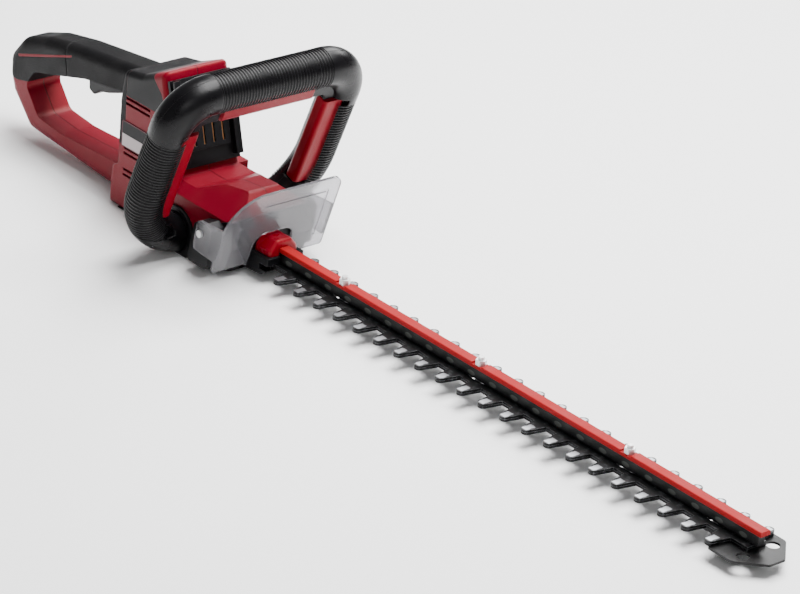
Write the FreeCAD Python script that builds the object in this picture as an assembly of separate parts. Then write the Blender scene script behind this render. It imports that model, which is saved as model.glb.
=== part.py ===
import FreeCAD, Part
import math
import os

from FreeCAD import Placement, Rotation, Vector

# Battery hedge trimmer, in millimetres.
# Design frame: +X runs forward along the blades, +Y is the tool's left, +Z is up.
# x = 0 is the first tooth on the right-hand side and z = 0 is the top of the upper blade.
# Every piece is moved at the end, so that the origin is the bottom centre of the whole tool.

# ---- blades ----------------------------------------------------------------------------
tooth_pitch = 26.0
right_teeth = 21                 # the left side has one tooth more, half a pitch out of step
tooth_reach = 28.4               # tooth tip to the centre line
tooth_root = 9.7                 # valley to the centre line
tooth_base = 14.0                # tooth length where it leaves the back
tooth_tip_radius = 4.2
blade_thickness = 2.0
blade_gap = 0.2                  # between the two blades
blade_stroke = 13.0              # full travel of one blade
blade_tail = 12.0                # half width of the plain shank
blade_end_margin = 12.0          # blade beyond the last left-hand tooth tip
guide_clearance = 0.3            # round every guide sleeve

# ---- bar above the blades --------------------------------------------------------------
bar_width = 10.0
bar_height = 4.0
bar_wall = 1.4
bar_lift = 10.0                  # bar underside above the upper blade
bar_start = -40.0
spacer_width = 6.0
sliding_gap = 0.3                # between a sliding blade and what guides it
bolt_positions = (56.0, 228.0, 403.0)
bolt_radius = 2.5
bolt_head_radius = 6.5
bolt_head_height = 2.6
sleeve_radius = 4.0
nut_flats = 8.0
nut_height = 5.0
nut_recess = 1.5
stud_end = 2.5                   # bolt end above its nut
washer_thickness = 1.0

# ---- tip guard -------------------------------------------------------------------------
tip_length = 48.0                # from the last right-hand tooth to the nose
tip_half_width = 28.5
tip_nose_half_width = 8.0
tip_thickness = 2.0
tip_hole_radius = 5.5
tip_hole_spacing = 31.0
tip_screw_back = 16.0            # screw behind the last right-hand tooth

# ---- gear train ------------------------------------------------------------------------
gear_x = -104.0
gear_module = 1.0
gear_teeth = 60
pinion_teeth = 12
gear_face = 7.0
gear_lift = 4.0                  # gear underside above the upper blade
gear_backlash = 0.25
eccentric_radius = 8.0
shaft_radius = 5.0
bush_radius = 8.0
running_fit = 0.05               # radial clearance of a shaft in its bush
yoke_clearance = 0.5
yoke_rim = 5.0
case_wall = 2.5
case_half_width = 35.0
case_nose_half_width = 20.0
case_roof = 3.0
plate_thickness = 3.0

# ---- motor -----------------------------------------------------------------------------
motor_radius = 16.0
motor_length = 26.5
motor_wall = 1.5
motor_shaft_radius = 1.6
armature_radius = 11.0
fan_radius = 14.5
fan_blades = 9
fan_height = 5.0

# ---- housing ---------------------------------------------------------------------------
base_z = -16.0                   # flat underside that the tool rests on
housing_wall = 3.2
rubber_thickness = 1.6
motor_half_width = 42.0
tower_half_width = 34.0
loop_half_width = 18.0
rear_x = -402.0                  # rearmost point of the rear handle
tower_rear_x = -226.0
tower_front_x = -130.0           # foot of the battery face
battery_lean = 16.1              # degrees, the battery face leans back
battery_face_length = 91.0
bay_floor_z = 43.0
dome_top_z = 55.5
dome_flat_half_width = 15.0      # the level middle of the motor dome
dome_drop = 21.0                 # from there down to its side walls
edge_round = 6.0
screw_radius = 2.0
screw_post_radius = 4.5

# ---- bow handle ------------------------------------------------------------------------
bow_foot_x = -115.9
bow_foot_z = 1.2
bow_lean = 21.3                  # degrees, the bow leans forward
bow_half_width = 89.6            # centre line of each side run
bow_offset = -4.0                # the bow stands a little to the right of the blades
bow_height = 163.0               # foot centre line to top centre line
bow_tube_radius = 17.2
bow_wall = 2.5
bow_top_radius = 30.0
bow_bottom_radius = 62.0
boss_radius = 24.0
boss_depth = 8.0
fit_clearance = 0.2              # between pieces that seat in each other

# ---- switch bars in the bow ------------------------------------------------------------
bar_travel = 3.0
switch_bar_back = -2.0           # rear and front faces of a bar, from the bow's own plane
switch_bar_front = 12.0
switch_bar_reach = 24.0          # inner edge of a bar to the tube's centre line
switch_bar_depth = 5.0           # buried edge of a bar to the tube's centre line
side_bar_bottom = 37.0
side_bar_top = 132.0
top_bar_half_length = 48.5
slot_clearance = 0.4
web_half_thickness = 9.0

# ---- ribbed bands round the bow --------------------------------------------------------
rib_height = 0.8
side_band_bottom = 15.0          # along the bow, up from its foot
side_band_top = 126.0
top_band_half_length = 58.0
band_gap_back = 9.5              # plain strip on the window side, where bars and webs stand
band_gap_front = 13.2

# ---- hand guard ------------------------------------------------------------------------
guard_foot_x = -49.0
guard_foot_z = -5.0
guard_lean = 18.2
guard_half_width = 58.5
guard_height = 76.0
guard_thickness = 2.5
guard_right_round = 38.0
guard_left_round = 10.0
guard_groove_inset = 12.0        # from the far and the top edges
guard_groove_width = 2.0
guard_groove_depth = 0.7
guard_mouth_half_width = 21.0
guard_mouth_height = 31.0
ear_length = 26.0
ear_screw_x = -64.0
ear_screw_z = 24.0

# ---- trigger ---------------------------------------------------------------------------
trigger_pivot_x = -244.0
trigger_pivot_z = 85.0
trigger_width = 14.0
trigger_pin_radius = 1.5

# ---- worked out from the above ---------------------------------------------------------
half_stroke = blade_stroke / 2.0
last_tooth_x = (right_teeth - 1) * tooth_pitch
blade_end_x = last_tooth_x + tooth_pitch / 2.0 + blade_end_margin
bar_end_x = blade_end_x + 7.5
nose_x = last_tooth_x + tip_length
tip_screw_x = last_tooth_x - tip_screw_back
guide_positions = bolt_positions + (tip_screw_x,)
stack_bottom = -(2.0 * blade_thickness + blade_gap)
bar_top = bar_lift + bar_height
yoke_half_length = eccentric_radius + 2.0 * half_stroke + yoke_clearance
yoke_half_width = eccentric_radius + half_stroke + yoke_clearance
gear_radius = gear_module * gear_teeth / 2.0
pinion_radius = gear_module * pinion_teeth / 2.0
motor_x = gear_x + gear_radius + pinion_radius
gear_top = gear_lift + gear_face
roof_bottom = gear_top + 2.0
roof_top = roof_bottom + case_roof
case_rear_x = gear_x - yoke_half_length - yoke_rim - half_stroke - case_wall - 1.5
case_front_x = motor_x + motor_radius + 2.0
case_shoulder_x = gear_x + gear_radius
plate_top = stack_bottom - 1.8
plate_bottom = plate_top - plate_thickness
motor_base = roof_top
motor_top = motor_base + motor_length
frame_shift = Vector(-(nose_x + rear_x) / 2.0, 0.0, -base_z)


# ---- small tools -----------------------------------------------------------------------
def box(x0, x1, y0, y1, z0, z1):
    return Part.makeBox(x1 - x0, y1 - y0, z1 - z0, Vector(x0, y0, z0))


def rod(radius, start, axis, length):
    return Part.makeCylinder(radius, length, Vector(*start), Vector(*axis))


def tube(outer, inner, start, axis, length):
    return rod(outer, start, axis, length).cut(rod(inner, start, axis, length))


def rounded_loop(corners, to_point):
    """Closed wire through corners (a, b, radius), each corner rounded by its radius."""
    points = [Vector(a, b, 0) for a, b, radius in corners]
    count = len(points)
    starts = []
    middles = []
    ends = []
    for i in range(count):
        corner = points[i]
        back = (points[i - 1] - corner).normalize()
        ahead = (points[(i + 1) % count] - corner).normalize()
        radius = corners[i][2]
        half = math.acos(max(-1.0, min(1.0, back.dot(ahead)))) / 2.0
        reach = radius / math.tan(half) if radius > 0 else 0.0
        starts.append(corner + back * reach)
        ends.append(corner + ahead * reach)
        if radius > 0:
            middle = (back + ahead).normalize() * (radius / math.sin(half) - radius)
            middles.append(corner + middle)
        else:
            middles.append(None)
    edges = []
    for i in range(count):
        if middles[i] is not None:
            arc = Part.Arc(to_point(starts[i]), to_point(middles[i]), to_point(ends[i]))
            edges.append(arc.toShape())
        following = (i + 1) % count
        if (starts[following] - ends[i]).Length > 1e-6:
            line = Part.LineSegment(to_point(ends[i]), to_point(starts[following]))
            edges.append(line.toShape())
    return Part.Wire(edges)


def side_loop(corners):
    return rounded_loop(corners, lambda p: Vector(p.x, 0.0, p.y))


def plan_loop(corners):
    return rounded_loop(corners, lambda p: Vector(p.x, p.y, 0.0))


def front_loop(corners):
    return rounded_loop(corners, lambda p: Vector(0.0, p.x, p.y))


def side_prism(corners, y0, y1):
    face = Part.Face(side_loop(corners))
    face.translate(Vector(0, y0, 0))
    return face.extrude(Vector(0, y1 - y0, 0))


def plan_prism(corners, z0, z1):
    face = Part.Face(plan_loop(corners))
    face.translate(Vector(0, 0, z0))
    return face.extrude(Vector(0, 0, z1 - z0))


def front_prism(corners, x0, x1):
    face = Part.Face(front_loop(corners))
    face.translate(Vector(x0, 0, 0))
    return face.extrude(Vector(x1 - x0, 0, 0))


def joined(shapes):
    first = shapes[0]
    if len(shapes) > 1:
        first = first.multiFuse(shapes[1:])
    return first.removeSplitter()


def both_sides(shape):
    return [shape, shape.mirror(Vector(0, 0, 0), Vector(0, 1, 0))]


def leaned(shape, degrees, x, z):
    """Tilt an upright shape forward about the Y axis and stand it at (x, z)."""
    placed = shape.copy()
    tilt = Placement(Vector(x, 0, z), Rotation(Vector(0, 1, 0), degrees))
    placed.Placement = tilt.multiply(placed.Placement)
    return placed


def rounded_edges(shape, radius, wanted):
    """Fillet the edges that wanted() picks; a radius of zero leaves the shape as it is."""
    edges = [edge for edge in shape.Edges if wanted(edge)]
    if radius <= 0 or not edges:
        return shape
    return shape.makeFillet(radius, edges)


def flat_in_y(y, tolerance=1e-4):
    """Picks the edges that lie in the plane at this y."""
    def test(edge):
        box_ = edge.BoundBox
        return abs(box_.YMin - y) < tolerance and abs(box_.YMax - y) < tolerance
    return test


nodes = {}


def keep(name, shapes):
    if not isinstance(shapes, (list, tuple)):
        shapes = [shapes]
    solids = []
    for shape in shapes:
        solids.extend(shape.Solids)
    nodes[name] = solids


# ---- blades ----------------------------------------------------------------------------
def blade_outline():
    """One flat outline with teeth on both sides and the yoke plate at the rear."""
    points = []
    edges = []

    def line_to(x, y):
        target = Vector(x, y, 0)
        if points:
            edges.append(Part.LineSegment(points[-1], target).toShape())
        points.append(target)

    def arc_to(mid_x, mid_y, x, y):
        target = Vector(x, y, 0)
        edges.append(Part.Arc(points[-1], Vector(mid_x, mid_y, 0), target).toShape())
        points.append(target)

    def tooth(x, side, direction):
        tip_y = tooth_reach - tooth_tip_radius
        line_to(x - direction * tooth_base / 2.0, side * tooth_root)
        line_to(x - direction * tooth_tip_radius, side * tip_y)
        arc_to(x, side * tooth_reach, x + direction * tooth_tip_radius, side * tip_y)
        line_to(x + direction * tooth_base / 2.0, side * tooth_root)

    rear = gear_x - yoke_half_length - yoke_rim
    front = gear_x + yoke_half_length + yoke_rim
    plate = yoke_half_width + yoke_rim
    shank_end = -tooth_pitch
    line_to(rear, -plate)
    line_to(front, -plate)
    line_to(front + plate - blade_tail, -blade_tail)
    line_to(shank_end, -blade_tail)
    line_to(shank_end, -tooth_root)
    for i in range(right_teeth):
        tooth(i * tooth_pitch, -1, 1)
    line_to(blade_end_x, -tooth_root)
    line_to(blade_end_x, tooth_root)
    for i in range(right_teeth, -1, -1):
        tooth((i - 0.5) * tooth_pitch, 1, -1)
    line_to(shank_end, tooth_root)
    line_to(shank_end, blade_tail)
    line_to(front + plate - blade_tail, blade_tail)
    line_to(front, plate)
    line_to(rear, plate)
    line_to(rear, -plate)
    return Part.Face(Part.Wire(edges))


def stadium(x, half_length, half_width, z0, z1):
    return plan_prism([(x - half_length, -half_width, half_width * 0.999),
                       (x + half_length, -half_width, half_width * 0.999),
                       (x + half_length, half_width, half_width * 0.999),
                       (x - half_length, half_width, half_width * 0.999)], z0, z1)


def blade(top):
    """A blade whose upper face is at height top, with its guide slots and yoke window."""
    bottom = top - blade_thickness
    plate = blade_outline()
    plate.translate(Vector(0, 0, bottom))
    shape = plate.extrude(Vector(0, 0, blade_thickness))
    slot_half_width = sleeve_radius + guide_clearance
    cuts = [stadium(x, slot_half_width + half_stroke + 0.5, slot_half_width, bottom, top)
            for x in guide_positions]
    cuts.append(plan_prism([(gear_x - yoke_half_length, -yoke_half_width, 3),
                            (gear_x + yoke_half_length, -yoke_half_width, 3),
                            (gear_x + yoke_half_length, yoke_half_width, 3),
                            (gear_x - yoke_half_length, yoke_half_width, 3)], bottom, top))
    return shape.cut(Part.makeCompound(cuts))


keep("upper_blade", blade(0.0))
keep("lower_blade", blade(-blade_thickness - blade_gap))


# ---- bar, spacer and the three fastenings ----------------------------------------------
def nut(x, z0):
    corner = nut_flats / math.sqrt(3.0)
    corners = [(x + corner * math.cos(math.radians(60 * i)),
                corner * math.sin(math.radians(60 * i)), 0) for i in range(6)]
    return plan_prism(corners, z0, z0 + nut_height)


def blade_bar():
    half = bar_width / 2.0
    bar = box(bar_start, bar_end_x, -half, half, bar_lift, bar_top)
    top_edges = [e for e in bar.Edges if e.BoundBox.ZMin > bar_top - 1e-6
                 and e.BoundBox.XLength > bar_width]
    bar = bar.makeFillet(0.8, top_edges)
    groove = box(bar_start - 1, bar_end_x - 3.0, -half + bar_wall, half - bar_wall,
                 bar_lift - 1, bar_top - nut_recess - bar_wall)
    cuts = [groove]
    for x in bolt_positions:
        cuts.append(box(x - 6, x + 6, -half - 1, half + 1, bar_top - nut_recess, bar_top + 1))
        cuts.append(rod(bolt_radius + fit_clearance, (x, 0, 0), (0, 0, 1), bar_top + 1))
    return bar.cut(Part.makeCompound(cuts))


def spacer_strip():
    """Black strip in the bar's groove; it stands on the blades and the bolts pass it."""
    half = bar_width / 2.0 - bar_wall - fit_clearance
    top = bar_top - nut_recess - bar_wall - fit_clearance
    inner = box(bar_start + 2, bar_end_x - 3.5, -half, half, sliding_gap, top)
    foot = box(bar_start + 2, bar_end_x - 3.5, -spacer_width / 2.0, spacer_width / 2.0,
               sliding_gap, bar_lift - fit_clearance)
    cuts = [rod(bolt_radius + fit_clearance, (x, 0, 0), (0, 0, 1), top + 1)
            for x in bolt_positions]
    cuts.append(rod(bolt_radius, (tip_screw_x, 0, 0), (0, 0, 1), bar_lift))
    return joined([inner, foot]).cut(Part.makeCompound(cuts))


head_top = stack_bottom - sliding_gap - washer_thickness
nut_base = bar_top - nut_recess
keep("blade_bar", blade_bar())
keep("spacer_strip", spacer_strip())
keep("blade_bolts", [joined([
    rod(bolt_radius, (x, 0, head_top), (0, 0, 1), nut_base + nut_height + stud_end - head_top),
    rod(bolt_head_radius, (x, 0, head_top - bolt_head_height), (0, 0, 1), bolt_head_height)])
    for x in bolt_positions])
keep("blade_nuts", [nut(x, nut_base).cut(rod(bolt_radius, (x, 0, 0), (0, 0, 1), 60))
                    for x in bolt_positions])
keep("blade_washers", [tube(bolt_head_radius + 1.0, bolt_radius, (x, 0, head_top), (0, 0, 1),
                            washer_thickness) for x in bolt_positions])
keep("guide_sleeves", [tube(sleeve_radius, bolt_radius, (x, 0, head_top + washer_thickness),
                            (0, 0, 1), sliding_gap - head_top - washer_thickness)
                       for x in guide_positions])


# ---- tip guard -------------------------------------------------------------------------
tip_top = stack_bottom - sliding_gap
tip_hole_x = last_tooth_x + 27.0


def tip_guard():
    tongue = tooth_root
    start = tip_screw_x - 9.0
    wide = last_tooth_x + 2.0
    shoulder = nose_x - 20.0
    half = [(start, -tongue, 3), (wide - 8, -tongue, 6), (wide, -tip_half_width, 3),
            (shoulder, -tip_half_width, 6), (nose_x, -tip_nose_half_width, 4)]
    outline = half + [(x, -y, r) for x, y, r in reversed(half)]
    plate = plan_prism(outline, tip_top - tip_thickness, tip_top)
    cuts = [rod(tip_hole_radius, (tip_hole_x, side * tip_hole_spacing / 2.0, tip_top - 9),
                (0, 0, 1), 18) for side in (-1, 1)]
    cuts.append(rod(bolt_radius, (tip_screw_x, 0, tip_top - 9), (0, 0, 1), 18))
    return plate.cut(Part.makeCompound(cuts))


def tip_screw():
    bottom = tip_top - tip_thickness
    return joined([rod(bolt_radius, (tip_screw_x, 0, bottom), (0, 0, 1), bar_lift - bottom),
                   rod(bolt_head_radius, (tip_screw_x, 0, bottom - bolt_head_height),
                       (0, 0, 1), bolt_head_height)])


keep("tip_guard", tip_guard())
keep("tip_screw", tip_screw())


# ---- gear train ------------------------------------------------------------------------
def involute(angle):
    return math.tan(angle) - angle


def gear_wheel(teeth, face_z0, face_z1, turn, backlash):
    """Spur wheel about the Z axis: straight-sided teeth through the involute's own points."""
    pitch_r = gear_module * teeth / 2.0
    base_r = pitch_r * math.cos(math.radians(20))
    tip_r = pitch_r + 0.85 * gear_module
    root_r = pitch_r - 1.2 * gear_module
    half_tooth = math.pi / (2.0 * teeth) - backlash / (2.0 * pitch_r)
    pitch_roll = involute(math.radians(20))
    flank = []
    for step in range(4):
        radius = max(base_r, root_r) + (tip_r - max(base_r, root_r)) * step / 3.0
        roll = involute(math.acos(min(1.0, base_r / radius)))
        flank.append((radius, half_tooth + pitch_roll - roll))
    points = []
    for i in range(teeth):
        middle = turn + 2.0 * math.pi * i / teeth
        points.append((root_r, middle - flank[0][1] - 0.01))
        points.extend((r, middle - a) for r, a in flank)
        points.extend((r, middle + a) for r, a in reversed(flank))
        points.append((root_r, middle + flank[0][1] + 0.01))
    corners = [Vector(r * math.cos(a), r * math.sin(a), face_z0) for r, a in points]
    corners.append(corners[0])
    return Part.Face(Part.makePolygon(corners)).extrude(Vector(0, 0, face_z1 - face_z0))


def moved(shape, x, y, z):
    shape = shape.copy()
    shape.translate(Vector(x, y, z))
    return shape


split_z = -blade_thickness - blade_gap / 2.0
wheel = moved(gear_wheel(gear_teeth, gear_lift, gear_top, 0.0, gear_backlash), gear_x, 0, 0)
relief = tube(gear_radius - 6, 12, (gear_x, 0, gear_top - 2.0), (0, 0, 1), 3)
keep("drive_gear", wheel.cut(relief).cut(rod(shaft_radius, (gear_x, 0, -20), (0, 0, 1), 60)))
upper_lobe = rod(eccentric_radius, (gear_x, half_stroke, split_z), (0, 0, 1),
                 gear_lift - split_z)
lower_lobe = rod(eccentric_radius, (gear_x, -half_stroke, stack_bottom - 0.3), (0, 0, 1),
                 split_z - stack_bottom + 0.3)
keep("eccentrics", joined([upper_lobe, lower_lobe]).cut(
    rod(shaft_radius, (gear_x, 0, -20), (0, 0, 1), 60)))
bush_bottom = plate_bottom - 2.0
keep("gear_shaft", rod(shaft_radius, (gear_x, 0, bush_bottom), (0, 0, 1),
                       roof_top - bush_bottom))
bush_bore = shaft_radius + running_fit
keep("gear_bushes", [
    tube(bush_radius, bush_bore, (gear_x, 0, bush_bottom), (0, 0, 1), plate_top - bush_bottom),
    tube(bush_radius, bush_bore, (gear_x, 0, roof_bottom), (0, 0, 1), case_roof)])


def case_block(inset, z0, z1):
    x0 = case_rear_x + inset
    x1 = case_front_x - inset
    y = case_half_width - inset
    nose_y = case_nose_half_width - inset
    shoulder = case_shoulder_x - inset * 0.3
    round_ = 7.0 - inset
    half = [(x0, -y, round_), (shoulder, -y, round_), (x1, -nose_y, round_ - 2)]
    return plan_prism(half + [(x, -y_, r) for x, y_, r in reversed(half)], z0, z1)


case_screw_spots = [(x, side * (case_half_width - 5.0)) for side in (-1, 1)
                    for x in (case_rear_x + 5.0, case_shoulder_x - 1.0)]


def gear_case():
    shell = case_block(0, plate_top, roof_top).cut(case_block(case_wall, plate_top, roof_bottom))
    posts = [rod(3.6, (x, y, plate_top), (0, 0, 1), roof_bottom - plate_top)
             for x, y in case_screw_spots]
    shell = joined([shell] + posts)
    cuts = [rod(bush_radius, (gear_x, 0, 0), (0, 0, 1), 40),
            rod(pinion_radius + 2.5, (motor_x, 0, roof_bottom - 1), (0, 0, 1), 9),
            box(case_front_x - 6, case_front_x + 1, -blade_tail - 1.5, blade_tail + 1.5,
                plate_top - 1, 1.2)]
    cuts += [rod(1.5, (x, y, plate_top), (0, 0, 1), 12) for x, y in case_screw_spots]
    return shell.cut(Part.makeCompound(cuts))


def gear_plate():
    plate = case_block(0, plate_bottom, plate_top)
    seat = rod(bush_radius + 2.5, (gear_x, 0, bush_bottom), (0, 0, 1), plate_top - bush_bottom)
    cuts = [rod(bush_radius, (gear_x, 0, bush_bottom), (0, 0, 1), 30)]
    cuts += [rod(1.5, (x, y, plate_bottom), (0, 0, 1), 12) for x, y in case_screw_spots]
    return joined([plate, seat]).cut(Part.makeCompound(cuts))


keep("gear_case", gear_case())
keep("gear_plate", gear_plate())
keep("case_screws", [joined([
    rod(1.5, (x, y, plate_bottom), (0, 0, 1), plate_thickness + 9),
    rod(3.0, (x, y, plate_bottom - 1.6), (0, 0, 1), 1.6)]) for x, y in case_screw_spots])


# ---- motor -----------------------------------------------------------------------------
def motor_can():
    can = tube(motor_radius, motor_radius - motor_wall, (motor_x, 0, motor_base + 3), (0, 0, 1),
               motor_length - 3)
    lid = tube(motor_radius, 4.5, (motor_x, 0, motor_top - motor_wall), (0, 0, 1), motor_wall)
    slots = [box(motor_x - 30, motor_x + 30, -3, 3, motor_top - 10, motor_top - 5)]
    return joined([can, lid]).cut(Part.makeCompound(slots))


def motor_cap():
    flange = tube(motor_radius, pinion_radius + 2.5, (motor_x, 0, motor_base), (0, 0, 1), 3)
    seat = tube(motor_radius - motor_wall, 4.5, (motor_x, 0, motor_base + 3), (0, 0, 1), 3)
    return joined([flange, seat])


def armature():
    """Slotted core that turns inside the can."""
    z0 = motor_base + 9
    z1 = motor_top - 6
    core = rod(armature_radius, (motor_x, 0, z0), (0, 0, 1), z1 - z0)
    slots = []
    for i in range(5):
        slot = box(motor_x + 6, motor_x + armature_radius + 1, -1.2, 1.2, z0 - 1, z1 + 1)
        slot.rotate(Vector(motor_x, 0, 0), Vector(0, 0, 1), 72.0 * i)
        slots.append(slot)
    slots.append(rod(motor_shaft_radius, (motor_x, 0, z0), (0, 0, 1), z1 - z0))
    return core.cut(Part.makeCompound(slots))


def fan():
    z0 = motor_top + 1.5
    hub = rod(5.0, (motor_x, 0, z0), (0, 0, 1), fan_height)
    disc = rod(fan_radius, (motor_x, 0, z0), (0, 0, 1), 1.0)
    vanes = []
    for i in range(fan_blades):
        vane = box(motor_x + 4, motor_x + fan_radius - 0.5, -0.6, 0.6, z0, z0 + fan_height)
        vane.rotate(Vector(motor_x, 0, 0), Vector(0, 0, 1), 360.0 * i / fan_blades)
        vanes.append(vane)
    return joined([hub, disc] + vanes).cut(
        rod(motor_shaft_radius, (motor_x, 0, z0), (0, 0, 1), fan_height))


def pinion():
    turn = math.pi if pinion_teeth % 2 else math.pi + math.pi / pinion_teeth
    wheel_ = gear_wheel(pinion_teeth, gear_lift + 0.5, gear_top - 0.5, turn, gear_backlash)
    wheel_ = moved(wheel_, motor_x, 0, 0)
    return wheel_.cut(rod(motor_shaft_radius, (motor_x, 0, 0), (0, 0, 1), 30))


keep("motor_can", motor_can())
keep("motor_cap", motor_cap())
keep("armature", armature())
keep("fan", fan())
keep("pinion", pinion())
shaft_bottom = gear_lift + 0.5
keep("motor_shaft", rod(motor_shaft_radius, (motor_x, 0, shaft_bottom), (0, 0, 1),
                        motor_top + 1.5 + fan_height - shaft_bottom))
motor_bore = motor_shaft_radius + running_fit
keep("motor_bearings", [
    tube(4.5, motor_bore, (motor_x, 0, motor_base + 3), (0, 0, 1), 3),
    tube(4.5, motor_bore, (motor_x, 0, motor_top - 3), (0, 0, 1), 3)])


# ---- housing form ----------------------------------------------------------------------
lean_back = math.radians(battery_lean)
face_top_x = tower_front_x - battery_face_length * math.sin(lean_back)
face_top_z = bay_floor_z + battery_face_length * math.cos(lean_back)

tower_outline = [
    (tower_rear_x, base_z, 3), (-101.0, base_z, 3), (-101.0, 20.0, 0),
    (tower_front_x, bay_floor_z, 4), (face_top_x, face_top_z, 3),
    (-186.0, 117.0, 8), (-212.0, 112.0, 6), (-216.0, 90.0, 20), (tower_rear_x, 6.0, 10)]
motor_outline = [
    (-150.0, base_z, 0), (-100.0, base_z, 0), (-91.0, 0.0, 4), (-62.0, 31.0, 6),
    (-45.0, 38.0, 4), (-46.0, 48.0, 6), (-56.0, dome_top_z, 8), (-84.0, dome_top_z - 3, 10),
    (-106.0, bay_floor_z, 12), (-150.0, bay_floor_z, 0)]
loop_outline = [
    (-190.0, 111.0, 0), (-307.0, 96.5, 60), (-350.0, 88.5, 30), (-384.0, 77.0, 20),
    (rear_x, 56.0, 14), (rear_x, 38.0, 14), (-396.0, 22.0, 12), (-369.0, -5.0, 14),
    (-245.0, -13.0, 4), (-190.0, -14.0, 0)]
window_outline = [
    (-213.0, 84.0, 4), (-287.0, 73.0, 30), (-329.0, 61.0, 20), (-362.0, 52.0, 12),
    (-374.0, 36.0, 8), (-354.0, 12.0, 10), (-318.0, 9.0, 30), (-236.0, 13.0, 10),
    (-213.0, 25.0, 4)]


def inset_side(corners, inset):
    wire = side_loop(corners)
    if inset:
        wire = wire.makeOffset2D(-inset).Wires[0]
    return Part.Face(wire)


def slab(corners, half_width, inset, round_):
    """Extruded side outline with both of its rims rounded, drawn in by inset all round."""
    half = half_width - inset
    face = inset_side(corners, inset)
    face.translate(Vector(0, -half, 0))
    shape = face.extrude(Vector(0, 2.0 * half, 0))
    radius = max(round_ - inset, 0.0)
    if radius > 0.3:
        shape = rounded_edges(shape, radius,
                              lambda e: flat_in_y(half)(e) or flat_in_y(-half)(e))
    return shape


def crown_cut(inset):
    """The slanted shoulders on both sides of the motor dome."""
    top = dome_top_z + 20
    reach = motor_half_width + 20
    flat = dome_flat_half_width - inset * 0.4
    eave = motor_half_width + 1.0 - inset * 0.4
    eave_z = dome_top_z - dome_drop - inset
    side = front_prism([(flat, top, 0), (flat, dome_top_z - inset, 6), (eave, eave_z, 3),
                        (reach, eave_z, 0), (reach, top, 0)], tower_front_x, 0.0)
    return both_sides(side)


def body_form(inset):
    tower = slab(tower_outline, tower_half_width, inset, edge_round)
    motor = slab(motor_outline, motor_half_width, inset, 0)
    motor = motor.cut(Part.makeCompound(crown_cut(inset)))
    loop = slab(loop_outline, loop_half_width, inset, 10.0)
    window = Part.Face(side_loop(window_outline))
    if inset:
        window = Part.Face(side_loop(window_outline).makeOffset2D(inset))
    window.translate(Vector(0, -80, 0))
    window = window.extrude(Vector(0, 160, 0))
    return joined([tower, motor, loop]).cut(window)


outer_form = body_form(0.0)
rubber_form = body_form(rubber_thickness)
hollow_form = body_form(housing_wall)


# ---- soft grip, its stripe and the tower collar ----------------------------------------
def side_region(corners):
    return side_prism([(x, z, 0) for x, z in corners], -80, 80)


grip_region = side_region([
    (rear_x - 20, 37), (-387, 36), (-369, 40), (-340, 50), (-330, 57), (-327, 45),
    (-205, 45), (-206, 92), (-206, 140), (rear_x - 20, 140)])
collar_region = side_region([
    (-205.9, 91), (-160, 91), (-150, 96), (-158, 110), (-171, 122), (-172, 145),
    (-205.9, 145)])
stripe_region = side_region([
    (-386, 58.5), (-345, 72.5), (-308, 85.5), (-308, 87.5), (-345, 74.8), (-387, 60.8)])
grip_seam = leaned(box(-0.6, 0.6, -80, 80, -40, 80), -12.0, -316.0, 80.0)
skin = outer_form.cut(rubber_form)
grip_skin = skin.common(grip_region)
trigger_slot = box(-299.0, -238.0, -trigger_width / 2 - 0.6, trigger_width / 2 + 0.6, 56, 90)
seam_ring = grip_skin.common(grip_seam).cut(body_form(0.7))
keep("rear_grip", grip_skin.cut(stripe_region).cut(trigger_slot).cut(seam_ring))
keep("grip_stripe", grip_skin.common(stripe_region))
keep("tower_collar", skin.common(collar_region))


# ---- housing halves --------------------------------------------------------------------
screw_spots = [(-384.0, 30.0), (-300.0, 1.0), (-240.0, 0.0), (-208.0, 101.0),
               (-160.0, 6.0), (-150.0, 38.0)]
screw_head_radius = 3.6
head_sink = 9.0                  # screw head below the left half's outer face
vent_rows = ((84.0, 3), (38.0, 2), (18.0, 2))
vent_pitch = 5.0
vent_height = 2.2
slide_top = battery_face_length - 8.0


def body_half_width(x, z):
    """Half width of the housing at a screw's place."""
    return tower_half_width if x > tower_rear_x + 8 else loop_half_width


def housing_cuts():
    cuts = []
    for side in (-1, 1):
        start = (bow_foot_x, side * (case_half_width + 1.0), bow_foot_z)
        cuts.append(rod(boss_radius + fit_clearance, start, (0, side, 0), 40))
    for z, count in vent_rows:
        for i in range(count):
            low = z + i * vent_pitch
            for side in (-1, 1):
                y0 = side * (tower_half_width + 3)
                y1 = side * (tower_half_width - housing_wall - 2)
                cuts.append(box(-206.0, -172.0, min(y0, y1), max(y0, y1),
                                low - vent_height / 2, low + vent_height / 2))
    cuts.append(trigger_slot)
    terminal = box(-10, 12, -24.0, 24.0, 18.0, 62.0)
    cuts.append(leaned(terminal, -battery_lean, tower_front_x, bay_floor_z))
    cuts.append(case_block(-0.5, bush_bottom - 0.5, roof_top + 0.5))
    cuts.append(rod(motor_radius + 1.0, (motor_x, 0, 0), (0, 0, 1), motor_top + fan_height + 3.5))
    cuts += foot_pads
    return cuts


foot_pads = [box(-212.0, -196.0, min(side * 20, side * 33), max(side * 20, side * 33),
                 base_z, base_z + 1.0) for side in (-1, 1)]


def screw_post(x, z, side):
    half = body_half_width(x, z) - rubber_thickness
    post = rod(screw_post_radius, (x, 0, z), (0, side, 0), half)
    return post.common(rubber_form)


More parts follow.
